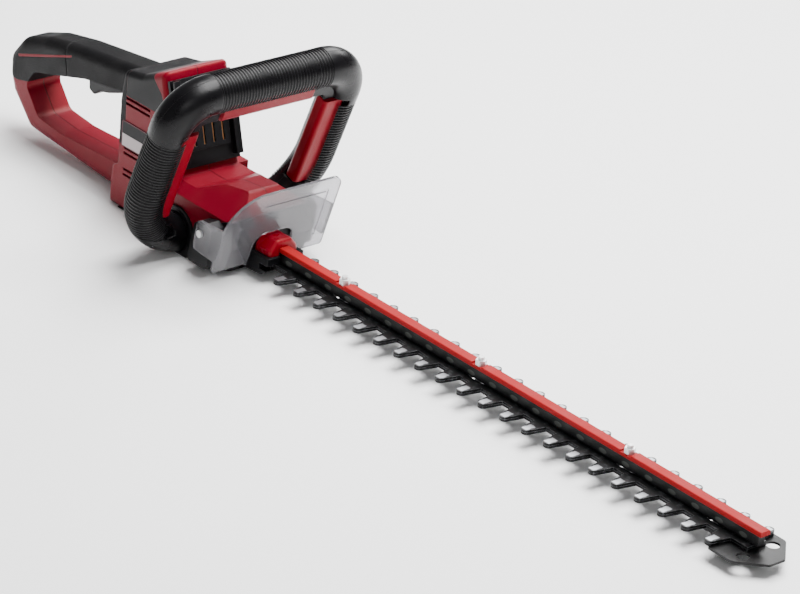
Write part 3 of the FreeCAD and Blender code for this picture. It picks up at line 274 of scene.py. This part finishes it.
def make_groups():
    """The effects that several finishes share."""
    tree, start, end = new_group(
        "moulded_grain",
        [("Vector", "NodeSocketVector", None), ("Scale", "NodeSocketFloat", 1400.0),
         ("Depth", "NodeSocketFloat", 0.00008), ("Normal", "NodeSocketVector", None)],
        [("Normal", "NodeSocketVector"), ("Tone", "NodeSocketFloat")])
    cells = add(tree, "ShaderNodeTexVoronoi", feature="SMOOTH_F1")
    wire(tree, start.outputs["Vector"], cells.inputs["Vector"])
    wire(tree, start.outputs["Scale"], cells.inputs["Scale"])
    fine = add(tree, "ShaderNodeTexNoise")
    wire(tree, start.outputs["Vector"], fine.inputs["Vector"])
    wire(tree, sums(tree, "MULTIPLY", start.outputs["Scale"], 1.7), fine.inputs["Scale"])
    height = sums(tree, "ADD", cells.outputs["Distance"], fine.outputs[0])
    bump = add(tree, "ShaderNodeBump")
    wire(tree, height, bump.inputs["Height"])
    wire(tree, start.outputs["Depth"], bump.inputs["Distance"])
    wire(tree, start.outputs["Normal"], bump.inputs["Normal"])
    wire(tree, bump.outputs["Normal"], end.inputs["Normal"])
    wire(tree, noise(tree, start.outputs["Vector"], 38.0, 4.0), end.inputs["Tone"])

    # edge mask from the bevel normal, broken by noise: real handling wear on the moulded, metal and
    # blade finishes, and a painted highlight on the guard's edges
    tree, start, end = new_group(
        "worn_and_sheen_edges",
        [("Vector", "NodeSocketVector", None), ("Radius", "NodeSocketFloat", 0.0008)],
        [("Mask", "NodeSocketFloat"), ("Normal", "NodeSocketVector")])
    soft = add(tree, "ShaderNodeBevel", samples=4)
    wire(tree, start.outputs["Radius"], soft.inputs["Radius"])
    geometry = add(tree, "ShaderNodeNewGeometry")
    across = add(tree, "ShaderNodeVectorMath", operation="DOT_PRODUCT")
    wire(tree, soft.outputs["Normal"], across.inputs[0])
    wire(tree, geometry.outputs["Normal"], across.inputs[1])
    edge = ramp(tree, sums(tree, "SUBTRACT", 1.0, across.outputs["Value"]), 0.015, 0.16)
    broken = ramp(tree, noise(tree, start.outputs["Vector"], 160.0, 4.0), 0.35, 0.62)
    wire(tree, sums(tree, "MULTIPLY", edge, broken), end.inputs["Mask"])
    wire(tree, soft.outputs["Normal"], end.inputs["Normal"])

    tree, start, end = new_group(
        "handled_dust",
        [("Vector", "NodeSocketVector", None), ("Amount", "NodeSocketFloat", 0.12)],
        [("Mask", "NodeSocketFloat")])
    geometry = add(tree, "ShaderNodeNewGeometry")
    parts = add(tree, "ShaderNodeSeparateXYZ")
    wire(tree, geometry.outputs["Normal"], parts.inputs[0])
    up = ramp(tree, parts.outputs["Z"], 0.2, 1.0)
    patches = ramp(tree, noise(tree, start.outputs["Vector"], 26.0, 5.0), 0.4, 0.75)
    both = sums(tree, "MULTIPLY", up, patches)
    wire(tree, sums(tree, "MULTIPLY", both, start.outputs["Amount"]), end.inputs["Mask"])

    tree, start, end = new_group(
        "drawn_scratches",
        [("Vector", "NodeSocketVector", None), ("Depth", "NodeSocketFloat", 0.00002),
         ("Normal", "NodeSocketVector", None)],
        [("Normal", "NodeSocketVector"), ("Mask", "NodeSocketFloat")])
    stretch = add(tree, "ShaderNodeMapping")
    stretch.inputs["Scale"].default_value = (60.0, 2400.0, 2400.0)
    wire(tree, start.outputs["Vector"], stretch.inputs["Vector"])
    lines = noise(tree, stretch.outputs[0], 1.0, 2.0)
    bump = add(tree, "ShaderNodeBump")
    wire(tree, lines, bump.inputs["Height"])
    wire(tree, start.outputs["Depth"], bump.inputs["Distance"])
    wire(tree, start.outputs["Normal"], bump.inputs["Normal"])
    wire(tree, bump.outputs["Normal"], end.inputs["Normal"])
    wire(tree, lines, end.inputs["Mask"])

    tree, start, end = new_group(
        "parting_line",
        [("Vector", "NodeSocketVector", None), ("Half width", "NodeSocketFloat", 0.0004)],
        [("Mask", "NodeSocketFloat")])
    parts = add(tree, "ShaderNodeSeparateXYZ")
    wire(tree, start.outputs["Vector"], parts.inputs[0])
    away = sums(tree, "ABSOLUTE", parts.outputs["Y"])
    near = sums(tree, "LESS_THAN", away, start.outputs["Half width"])
    wire(tree, near, end.inputs["Mask"])


class Finish:
    """A material being built: its tree, its shader and its Object coordinates."""

    def __init__(self, name):
        self.material = bpy.data.materials.new(name)
        self.material.use_nodes = True
        self.tree = self.material.node_tree
        self.tree.nodes.clear()
        self.output = add(self.tree, "ShaderNodeOutputMaterial", (700, 0))
        self.shader = add(self.tree, "ShaderNodeBsdfPrincipled", (400, 0))
        wire(self.tree, self.shader.outputs[0], self.output.inputs["Surface"])
        self.place = add(self.tree, "ShaderNodeTexCoord", (-900, 0)).outputs["Object"]

    def set(self, **values):
        """Constants on the shader's own sockets; an underscore stands for a space."""
        for key, value in values.items():
            self.shader.inputs[key.replace("_", " ")].default_value = value

    def give(self, key, source):
        """Something that changes over the surface, into one socket of the shader."""
        wire(self.tree, source, self.shader.inputs[key])


def moulded(name, base, roughness, grain_scale, grain_depth, dust=0.1, wear=0.25,
            edge_radius=None, specular=0.3, seam=False, glow=WHITE):
    """Moulded plastic or rubber with grain, soft edges, a little dust and handling wear."""
    finish = Finish(name)
    tree = finish.tree
    edges = use_group(tree, "worn_and_sheen_edges", Vector=finish.place,
                      Radius=edge_radius or sizes().edge_radius)
    grain = use_group(tree, "moulded_grain", Vector=finish.place, Scale=grain_scale,
                      Depth=grain_depth, Normal=edges.outputs["Normal"])
    dusty = use_group(tree, "handled_dust", Vector=finish.place, Amount=dust)
    light = [channel * (1.0 + TONE_SPREAD) for channel in base[:3]] + [1.0]
    deep = [channel * (1.0 - TONE_SPREAD) for channel in base[:3]] + [1.0]
    body = blend_colours(tree, grain.outputs["Tone"], deep, light)
    rubbed = [channel * RUBBED_KEEP + RUBBED_LIFT for channel in base[:3]] + [1.0]
    body = blend_colours(tree, sums(tree, "MULTIPLY", edges.outputs["Mask"], wear), body, rubbed)
    body = blend_colours(tree, dusty.outputs["Mask"], body, DUST)
    if seam:
        line = use_group(tree, "parting_line", Vector=finish.place)
        shade = [channel * SEAM_SHARE for channel in base[:3]] + [1.0]
        body = blend_colours(tree, line.outputs["Mask"], body, shade)
    finish.give("Base Color", body)
    rough = ramp(tree, grain.outputs["Tone"], 0.3, 0.7, roughness - ROUGH_SPREAD,
                 roughness + ROUGH_SPREAD)
    finish.give("Roughness", rough)
    finish.give("Normal", grain.outputs["Normal"])
    finish.set(Specular_IOR_Level=specular, Specular_Tint=(*glow, 1.0))
    return finish


def metal(name, base, roughness, depth=0.02 * MM, metallic=1.0):
    """Bare or plated metal with drawn or turned marks and bright edges."""
    finish = Finish(name)
    tree = finish.tree
    edges = use_group(tree, "worn_and_sheen_edges", Vector=finish.place, Radius=0.3 * MM)
    marks = use_group(tree, "drawn_scratches", Vector=finish.place, Depth=depth,
                      Normal=edges.outputs["Normal"])
    dull = [channel * DULL_SHARE for channel in base[:3]] + [1.0]
    body = blend_colours(tree, marks.outputs["Mask"], dull, base)
    polished = sums(tree, "MULTIPLY", edges.outputs["Mask"], BRIGHT_EDGE_AMOUNT)
    body = blend_colours(tree, polished, body, BRIGHT_EDGE)
    finish.give("Base Color", body)
    finish.give("Roughness", ramp(tree, marks.outputs["Mask"], 0.3, 0.7,
                                  roughness - MARK_SPREAD, roughness + MARK_SPREAD))
    finish.give("Normal", marks.outputs["Normal"])
    finish.set(Metallic=metallic)
    return finish


def paint(material, *names):
    """Gives CAD nodes or new pieces one finish."""
    for name in names:
        piece = NODES.get(name) or bpy.data.objects[name]
        if not piece.material_slots:
            piece.data.materials.append(material)
        for slot in piece.material_slots:
            slot.material = material


# ---- new pieces ------------------------------------------------------------------------
def piece_from(bm, name, material, smooth=True):
    """Turns a bmesh into a finished object at the origin."""
    mesh = bpy.data.meshes.new(name)
    bm.to_mesh(mesh)
    bm.free()
    mesh.materials.append(material)
    if smooth:
        mesh.shade_smooth()
    piece = bpy.data.objects.new(name, mesh)
    bpy.context.scene.collection.objects.link(piece)
    return piece


def add_rib(bm, place, start, sweep):
    """One raised rubber rib: a small crowned section swung round the tube, then put in place.

    The tube's centre line is the local Z axis and the angle starts from local X. The rib is a
    strip, open underneath and at its two ends, where it sinks into the bow.
    """
    size = sizes()
    seat = size.tube_radius - size.rib_height - RIB_SINK
    crest = size.tube_radius
    shoulder = crest - RIB_SHOULDER
    half = size.rib_pitch * RIB_HALF_SHARE
    rise = [(seat, half), (shoulder, half * SHOULDER_SHARE), (crest, half * CREST_SHARE)]
    section = [(radius, -along) for radius, along in rise] + rise[::-1]
    before = len(bm.verts)
    corners = [bm.verts.new((radius, 0.0, along)) for radius, along in section]
    bmesh.ops.rotate(bm, verts=corners, cent=(0, 0, 0), matrix=Matrix.Rotation(start, 3, "Z"))
    edges = [bm.edges.new((a, b)) for a, b in zip(corners, corners[1:])]
    bmesh.ops.spin(bm, geom=corners + edges, cent=(0, 0, 0), axis=(0, 0, 1), angle=sweep,
                   steps=RIB_STEPS, use_merge=False)
    bmesh.ops.transform(bm, matrix=place, verts=bm.verts[before:])


def side_rib_places():
    """Frames of the ribs on the +Y side run, from its top down round the lower bend."""
    size = sizes()
    straight_end = size.lower_bend
    for i in itertools.count():
        height = size.side_top - i * size.rib_pitch
        if height >= straight_end:
            yield Matrix.Translation((0, size.bow_half_width, height))
            continue
        angle = (straight_end - height) / size.lower_bend
        drop = straight_end - size.lower_bend * math.sin(angle)
        if drop < size.side_bottom:
            return
        turn = Matrix.Rotation(-angle, 4, "X")
        centre = Matrix.Translation((0, size.bow_half_width - size.lower_bend, straight_end))
        yield centre @ turn @ Matrix.Translation((0, size.lower_bend, 0))


class OBJECT_OT_trimmer_bow_ribs(bpy.types.Operator):
    """Raised rubber ribs round the side runs and the top run of the bow handle"""
    bl_idname = "object.trimmer_bow_ribs"
    bl_label = "Bow ribs"

    def execute(self, context):
        size = sizes()
        bm = bmesh.new()
        to_window = Matrix.Rotation(math.radians(-90), 4, "Z")
        for place in side_rib_places():
            add_rib(bm, place @ to_window, PLAIN_FRONT, RIB_SWEEP)
        left = bm.verts[:] + bm.edges[:] + bm.faces[:]
        bmesh.ops.mirror(bm, geom=left, matrix=Matrix.Identity(4), merge_dist=0.0, axis="Y")
        count = int(2 * size.top_half / size.rib_pitch)
        for i in range(count + 1):
            along = -size.top_half + i * 2 * size.top_half / count
            place = Matrix.Translation((0, along, size.bow_height))
            place = place @ Matrix.Rotation(math.radians(-90), 4, "X")
            place = place @ Matrix.Rotation(math.radians(90), 4, "Z")
            add_rib(bm, place, -PLAIN_FRONT, -RIB_SWEEP)
        bmesh.ops.recalc_face_normals(bm, faces=bm.faces[:])
        bmesh.ops.transform(bm, matrix=BOW_TURN, verts=bm.verts[:])
        ribs = piece_from(bm, "bow_ribs", bpy.data.materials["grip_rubber"])
        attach(ribs, "body")
        return {"FINISHED"}


# ---- finishes --------------------------------------------------------------------------
class OBJECT_OT_trimmer_housing_finish(bpy.types.Operator):
    """Red moulded housing with its parting line, and the dark collar, covers and bosses"""
    bl_idname = "object.trimmer_housing_finish"
    bl_label = "Housing finish"

    def execute(self, context):
        tone = colours()
        red = moulded("red_housing", tone.shell, 0.38, 1500.0, 0.00009, dust=0.012, wear=0.12,
                      edge_radius=1.2 * MM, seam=True, specular=0.22, glow=WARM_GLOSS)
        paint(red.material, "housing_left", "housing_right")
        dark = moulded("dark_housing", tone.dark, 0.42, 1500.0, 0.00010, dust=0.012, wear=0.10,
                       edge_radius=1.2 * MM, specular=0.16)
        paint(dark.material, "tower_collar", "gear_cover", "bow_bosses")
        black = moulded("black_moulding", tone.dark, 0.38, 1100.0, 0.00007, dust=0.01, wear=0.10,
                        specular=0.18)
        paint(black.material, "trigger", "battery_rails", "terminal_block", "rear_switch",
              "bar_switches", "fan")
        return {"FINISHED"}


class OBJECT_OT_trimmer_grip_finish(bpy.types.Operator):
    """Soft rubber of the rear grip, the feet and the bow, and the red stripe"""
    bl_idname = "object.trimmer_grip_finish"
    bl_label = "Grip finish"

    def execute(self, context):
        tone = colours()
        grip = moulded("soft_grip", tone.rubber, 0.55, 900.0, 0.00016, dust=0.012, wear=0.06,
                       edge_radius=1.5 * MM, specular=0.15)
        paint(grip.material, "rear_grip", "rubber_feet")
        stripe = moulded("stripe_red", tone.shell, 0.45, 1300.0, 0.00008, dust=0.01, wear=0.1,
                         glow=WARM_GLOSS)
        paint(stripe.material, "grip_stripe")
        bow = moulded("grip_rubber", tone.rubber, 0.30, 1300.0, 0.00005, dust=0.005, wear=0.04,
                      edge_radius=1.0 * MM, specular=0.17)
        paint(bow.material, "bow_front_shell", "bow_rear_shell")
        bars = moulded("bar_red", tone.bar, 0.36, 1500.0, 0.00006, dust=0.01, wear=0.10,
                       edge_radius=1.0 * MM, specular=0.2, glow=WARM_GLOSS)
        paint(bars.material, "switch_bar_top", "switch_bar_left", "switch_bar_right")
        return {"FINISHED"}


class OBJECT_OT_trimmer_label_finish(bpy.types.Operator):
    """Blank two-tone label plate on the tower side"""
    bl_idname = "object.trimmer_label_finish"
    bl_label = "Label finish"

    def execute(self, context):
        tone = colours()
        finish = Finish("label_plate_print")
        tree = finish.tree
        parts = add(tree, "ShaderNodeSeparateXYZ")
        wire(tree, finish.place, parts.inputs[0])
        low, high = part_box("label_plate")
        split = low[2] + (high[2] - low[2]) * LABEL_SPLIT
        soft = LABEL_RIM * LABEL_RIM_SOFT
        upper = ramp(tree, parts.outputs["Z"], split - LABEL_BLUR, split + LABEL_BLUR)
        face = blend_colours(tree, upper, tone.label_pale, tone.label_dark)
        side = ramp(tree, parts.outputs["X"], low[0] + LABEL_RIM, low[0] + soft)
        far = ramp(tree, parts.outputs["X"], high[0] - soft, high[0] - LABEL_RIM, 1.0, 0.0)
        foot = ramp(tree, parts.outputs["Z"], low[2] + LABEL_RIM, low[2] + soft)
        head = ramp(tree, parts.outputs["Z"], high[2] - soft, high[2] - LABEL_RIM, 1.0, 0.0)
        inside = sums(tree, "MULTIPLY", sums(tree, "MULTIPLY", side, far),
                      sums(tree, "MULTIPLY", foot, head))
        body = blend_colours(tree, inside, (0.10, 0.03, 0.04, 1.0), face)
        cloud = noise(tree, finish.place, 300.0, 3.0)
        finish.give("Base Color", blend_colours(
            tree, ramp(tree, cloud, 0.3, 0.8, 0.0, 0.03), body, (0.3, 0.28, 0.28, 1.0)))
        finish.give("Roughness", ramp(tree, cloud, 0.3, 0.7, 0.34, 0.46))
        finish.set(Specular_IOR_Level=0.12)
        paint(finish.material, "label_plate")
        return {"FINISHED"}


class OBJECT_OT_trimmer_guard_finish(bpy.types.Operator):
    """Smoky clear hand guard, with a painted highlight along its edges"""
    bl_idname = "object.trimmer_guard_finish"
    bl_label = "Guard finish"

    def execute(self, context):
        finish = Finish("smoky_guard")
        tree = finish.tree
        edges = use_group(tree, "worn_and_sheen_edges", Vector=finish.place, Radius=0.6 * MM)
        scuffs = use_group(tree, "drawn_scratches", Vector=finish.place, Depth=0.000004,
                           Normal=edges.outputs["Normal"])
        finish.give("Normal", scuffs.outputs["Normal"])
        cloud = noise(tree, finish.place, 60.0, 4.0)
        finish.give("Roughness", ramp(tree, cloud, 0.35, 0.75, 0.10, 0.20))
        body = blend_colours(tree, ramp(tree, cloud, 0.3, 0.8, 0.0, 0.5), colours().guard,
                             (0.40, 0.39, 0.42, 1.0))
        # painted highlight: the guard's edges are blended towards pale grey, standing in for light
        # caught along the clear sheet's edges
        finish.give("Base Color", blend_colours(tree, edges.outputs["Mask"], body,
                                                (0.92, 0.92, 0.94, 1.0)))
        finish.set(Transmission_Weight=0.86, Metallic=0.0, IOR=1.45)
        paint(finish.material, "hand_guard")
        return {"FINISHED"}


class OBJECT_OT_trimmer_blade_finish(bpy.types.Operator):
    """Black coated blades with bare ground tooth tips, the red bar and the tip guard"""
    bl_idname = "object.trimmer_blade_finish"
    bl_label = "Blade finish"

    def execute(self, context):
        tone = colours()
        size = sizes()
        finish = Finish("coated_blade")
        tree = finish.tree
        parts = add(tree, "ShaderNodeSeparateXYZ")
        wire(tree, finish.place, parts.inputs[0])
        edges = use_group(tree, "worn_and_sheen_edges", Vector=finish.place, Radius=0.5 * MM)
        marks = use_group(tree, "drawn_scratches", Vector=finish.place, Depth=0.00001,
                          Normal=edges.outputs["Normal"])
        out = sums(tree, "ABSOLUTE", parts.outputs["Y"])
        left = sums(tree, "MULTIPLY", sums(tree, "GREATER_THAN", parts.outputs["Y"], 0.0), 0.5)
        along = sums(tree, "DIVIDE", sums(tree, "SUBTRACT", parts.outputs["X"], FIRST_TOOTH_X),
                     size.tooth_pitch)
        phase = sums(tree, "FRACT", sums(tree, "ADD", sums(tree, "ADD", along, left),
                                         WHOLE_TEETH + 0.5))
        aside = sums(tree, "MULTIPLY", sums(tree, "ABSOLUTE", sums(tree, "SUBTRACT", phase, 0.5)),
                     size.tooth_pitch)
        ragged = noise(tree, finish.place, 220.0, 4.0)
        shift = ramp(tree, ragged, 0.3, 0.7, -FACET_RAGGED, FACET_RAGGED)
        near_axis = ramp(tree, sums(tree, "ADD", aside, shift), *FACET_HALF, 1.0, 0.0)
        outer = ramp(tree, sums(tree, "ADD", out, shift), *FACET_START)
        short = ramp(tree, out, *FACET_END, 1.0, 0.0)
        facet = sums(tree, "MULTIPLY", sums(tree, "MULTIPLY", near_axis, outer), short)
        rub = ramp(tree, ragged, 0.5, 0.75, 0.0, 0.12)
        bare = sums(tree, "MAXIMUM", facet, sums(tree, "MULTIPLY", edges.outputs["Mask"], 0.55))
        bare = sums(tree, "MAXIMUM", bare, rub)
        steel = blend_colours(tree, marks.outputs["Mask"], (0.24, 0.25, 0.26, 1.0), tone.ground)
        finish.give("Base Color", blend_colours(tree, bare, tone.blade, steel))
        finish.give("Metallic", ramp(tree, bare, 0.2, 0.8, 0.35, 0.9))
        finish.give("Roughness", ramp(tree, bare, 0.0, 1.0, 0.42, 0.34))
        finish.give("Normal", marks.outputs["Normal"])
        finish.set(Specular_IOR_Level=0.25)
        paint(finish.material, "upper_blade", "lower_blade")

        plate = moulded("coated_plate", tone.blade, 0.40, 1200.0, 0.00006, dust=0.02, wear=0.3)
        plate.set(Metallic=0.3)
        paint(plate.material, "tip_guard", "tip_screw")

        spacer = moulded("spacer_black", tone.blade, 0.50, 1200.0, 0.00005, specular=0.3)
        tree = spacer.tree
        parts = add(tree, "ShaderNodeSeparateXYZ")
        wire(tree, spacer.place, parts.inputs[0])
        along = sums(tree, "DIVIDE", sums(tree, "SUBTRACT", parts.outputs["X"], FIRST_TOOTH_X),
                     size.tooth_pitch)
        phase = sums(tree, "FRACT", sums(tree, "ADD", along, WHOLE_TEETH))
        across = sums(tree, "MULTIPLY", sums(tree, "SUBTRACT", phase, 0.5),
                      size.tooth_pitch / DISH_SHEEN_HALF_LENGTH)
        above = sums(tree, "SUBTRACT", parts.outputs["Z"], BLADE_TOP_Z + DISH_SHEEN_ABOVE_BLADE)
        above = sums(tree, "DIVIDE", above, DISH_SHEEN_HALF_HEIGHT)
        radius = sums(tree, "ADD", sums(tree, "MULTIPLY", across, across),
                      sums(tree, "MULTIPLY", above, above))
        # painted sheen: each oval on the spacer's side is coloured paler than the black coat,
        # standing in for light caught by a shallow dish
        dish_sheen = ramp(tree, radius, 0.7, 1.1, 1.0, 0.0)
        spacer.give("Base Color", blend_colours(tree, dish_sheen, tone.blade, (0.05, 0.055, 0.05, 1.0)))
        paint(spacer.material, "spacer_strip")

        coat = moulded("red_coat", tone.coat, 0.50, 700.0, 0.00005, dust=0.01, wear=0.15,
                       edge_radius=0.8 * MM, specular=0.12, glow=WARM_GLOSS)
        paint(coat.material, "blade_bar")
        hood = moulded("hood_red", tone.bar, 0.30, 900.0, 0.00004, dust=0.01, wear=0.15,
                       edge_radius=1.0 * MM, specular=0.3, glow=WARM_GLOSS)
        paint(hood.material, "nose_hood")
        return {"FINISHED"}


class OBJECT_OT_trimmer_metal_finish(bpy.types.Operator):
    """Fasteners, springs, gears, motor, castings and the electronics"""
    bl_idname = "object.trimmer_metal_finish"
    bl_label = "Metal finish"

    def execute(self, context):
        tone = colours()
        bright = metal("bright_steel", tone.steel, 0.44, metallic=0.85)
        paint(bright.material, "blade_bolts", "blade_nuts", "guard_screws", "case_screws",
              "housing_screws", "trigger_pin", "gear_shaft", "motor_shaft", "motor_bearings")
        wire_finish = metal("spring_wire", (0.34, 0.34, 0.35, 1.0), 0.34)
        paint(wire_finish.material, "trigger_spring", "bar_springs")
        gears = metal("hardened_steel", (0.28, 0.28, 0.29, 1.0), 0.36, depth=0.00003)
        paint(gears.material, "drive_gear", "eccentrics", "pinion", "blade_washers",
              "guide_sleeves")
        bronze = metal("sintered_bronze", (0.42, 0.25, 0.09, 1.0), 0.46)
        paint(bronze.material, "gear_bushes")
        cast = metal("cast_alloy", (0.34, 0.35, 0.37, 1.0), 0.52, depth=0.00005)
        paint(cast.material, "gear_case", "gear_plate", "heat_sink")
        can = metal("motor_plate", (0.40, 0.40, 0.42, 1.0), 0.38)
        paint(can.material, "motor_can", "motor_cap")
        core = metal("stacked_core", (0.12, 0.12, 0.13, 1.0), 0.50, depth=0.00006)
        paint(core.material, "armature")
        copper = metal("bare_copper", (0.60, 0.28, 0.12, 1.0), 0.32)
        paint(copper.material, "contact_blades")
        board = moulded("board_green", (0.008, 0.08, 0.03, 1.0), 0.30, 900.0, 0.00003)
        paint(board.material, "controller_board")
        return {"FINISHED"}


# ---- stage -----------------------------------------------------------------------------
def area_light(name, place, target, width, height, power):
    """Rectangular soft light aimed at a point."""
    data = bpy.data.lights.new(name, "AREA")
    data.shape = "RECTANGLE"
    data.size = width
    data.size_y = height
    data.energy = power
    lamp = bpy.data.objects.new(name, data)
    lamp.location = place
    aim = Vector(target) - Vector(place)
    lamp.rotation_euler = aim.to_track_quat("-Z", "Y").to_euler()
    bpy.context.scene.collection.objects.link(lamp)


class OBJECT_OT_trimmer_stage(bpy.types.Operator):
    """Pale floor, soft studio light and the camera"""
    bl_idname = "object.trimmer_stage"
    bl_label = "Stage"

    def execute(self, context):
        bm = bmesh.new()
        bmesh.ops.create_grid(bm, x_segments=1, y_segments=1, size=FLOOR_HALF)
        bmesh.ops.translate(bm, verts=bm.verts[:], vec=(0, 0, -FLOOR_DROP))
        finish = Finish("studio_floor")
        tree = finish.tree
        tint = colours().floor
        cloud = noise(tree, finish.place, 3.0, 2.0)
        finish.give("Base Color", blend_colours(tree, ramp(tree, cloud, 0.3, 0.7, 0.0, 0.04),
                                                tint, (0.8, 0.8, 0.8, 1.0)))
        finish.set(Roughness=0.8)
        floor = piece_from(bm, "studio_floor", finish.material, smooth=False)

        world = bpy.data.worlds.new("studio_world")
        world.use_nodes = True
        back = world.node_tree.nodes["Background"]
        back.inputs["Color"].default_value = (*WHITE, 1.0)
        back.inputs["Strength"].default_value = WORLD_STRENGTH
        context.scene.world = world

        for light in LIGHTS:
            area_light(*light)

        level = math.cos(CAMERA_ELEVATION)
        back_axis = Vector((math.sin(CAMERA_AZIMUTH) * level, -math.cos(CAMERA_AZIMUTH) * level,
                            math.sin(CAMERA_ELEVATION)))
        right = Vector((math.cos(CAMERA_AZIMUTH), math.sin(CAMERA_AZIMUTH), 0.0))
        up = back_axis.cross(right)
        right_rolled = math.cos(CAMERA_ROLL) * right + math.sin(CAMERA_ROLL) * up
        up_rolled = math.cos(CAMERA_ROLL) * up - math.sin(CAMERA_ROLL) * right
        turn = Matrix((right_rolled, up_rolled, back_axis)).transposed().to_4x4()
        data = bpy.data.cameras.new("studio_camera")
        data.lens = sizes().camera_lens
        data.sensor_fit = "HORIZONTAL"
        data.sensor_width = CAMERA_SENSOR
        data.clip_end = CAMERA_REACH
        camera = bpy.data.objects.new("studio_camera", data)
        camera.matrix_world = Matrix.Translation(CAMERA_PLACE) @ turn
        context.scene.collection.objects.link(camera)
        context.scene.camera = camera
        return {"FINISHED"}


class VIEW3D_PT_trimmer(bpy.types.Panel):
    bl_label = "Hedge Trimmer"
    bl_idname = "VIEW3D_PT_trimmer"
    bl_space_type = "VIEW_3D"
    bl_region_type = "UI"
    bl_category = "Trimmer"

    def draw(self, context):
        layout = self.layout
        for operator in OPERATORS:
            layout.operator(operator.bl_idname)
        for group in (context.scene.trimmer_sizes, context.scene.trimmer_colours):
            column = layout.column()
            for key in group.__annotations__:
                column.prop(group, key)


OPERATORS = (
    OBJECT_OT_trimmer_housing_finish,
    OBJECT_OT_trimmer_grip_finish,
    OBJECT_OT_trimmer_label_finish,
    OBJECT_OT_trimmer_guard_finish,
    OBJECT_OT_trimmer_blade_finish,
    OBJECT_OT_trimmer_metal_finish,
    OBJECT_OT_trimmer_bow_ribs,
    OBJECT_OT_trimmer_stage,
)
CLASSES = (TrimmerSizes, TrimmerColours) + OPERATORS + (VIEW3D_PT_trimmer,)


def register():
    for item in CLASSES:
        bpy.utils.register_class(item)
    bpy.types.Scene.trimmer_sizes = bpy.props.PointerProperty(type=TrimmerSizes)
    bpy.types.Scene.trimmer_colours = bpy.props.PointerProperty(type=TrimmerColours)


def unregister():
    del bpy.types.Scene.trimmer_colours
    del bpy.types.Scene.trimmer_sizes
    for item in reversed(CLASSES):
        bpy.utils.unregister_class(item)


def main():
    register()
    make_groups()
    for operator in OPERATORS:
        group, name = operator.bl_idname.split(".")
        getattr(getattr(bpy.ops, group), name)()


if __name__ == "__main__":
    main()
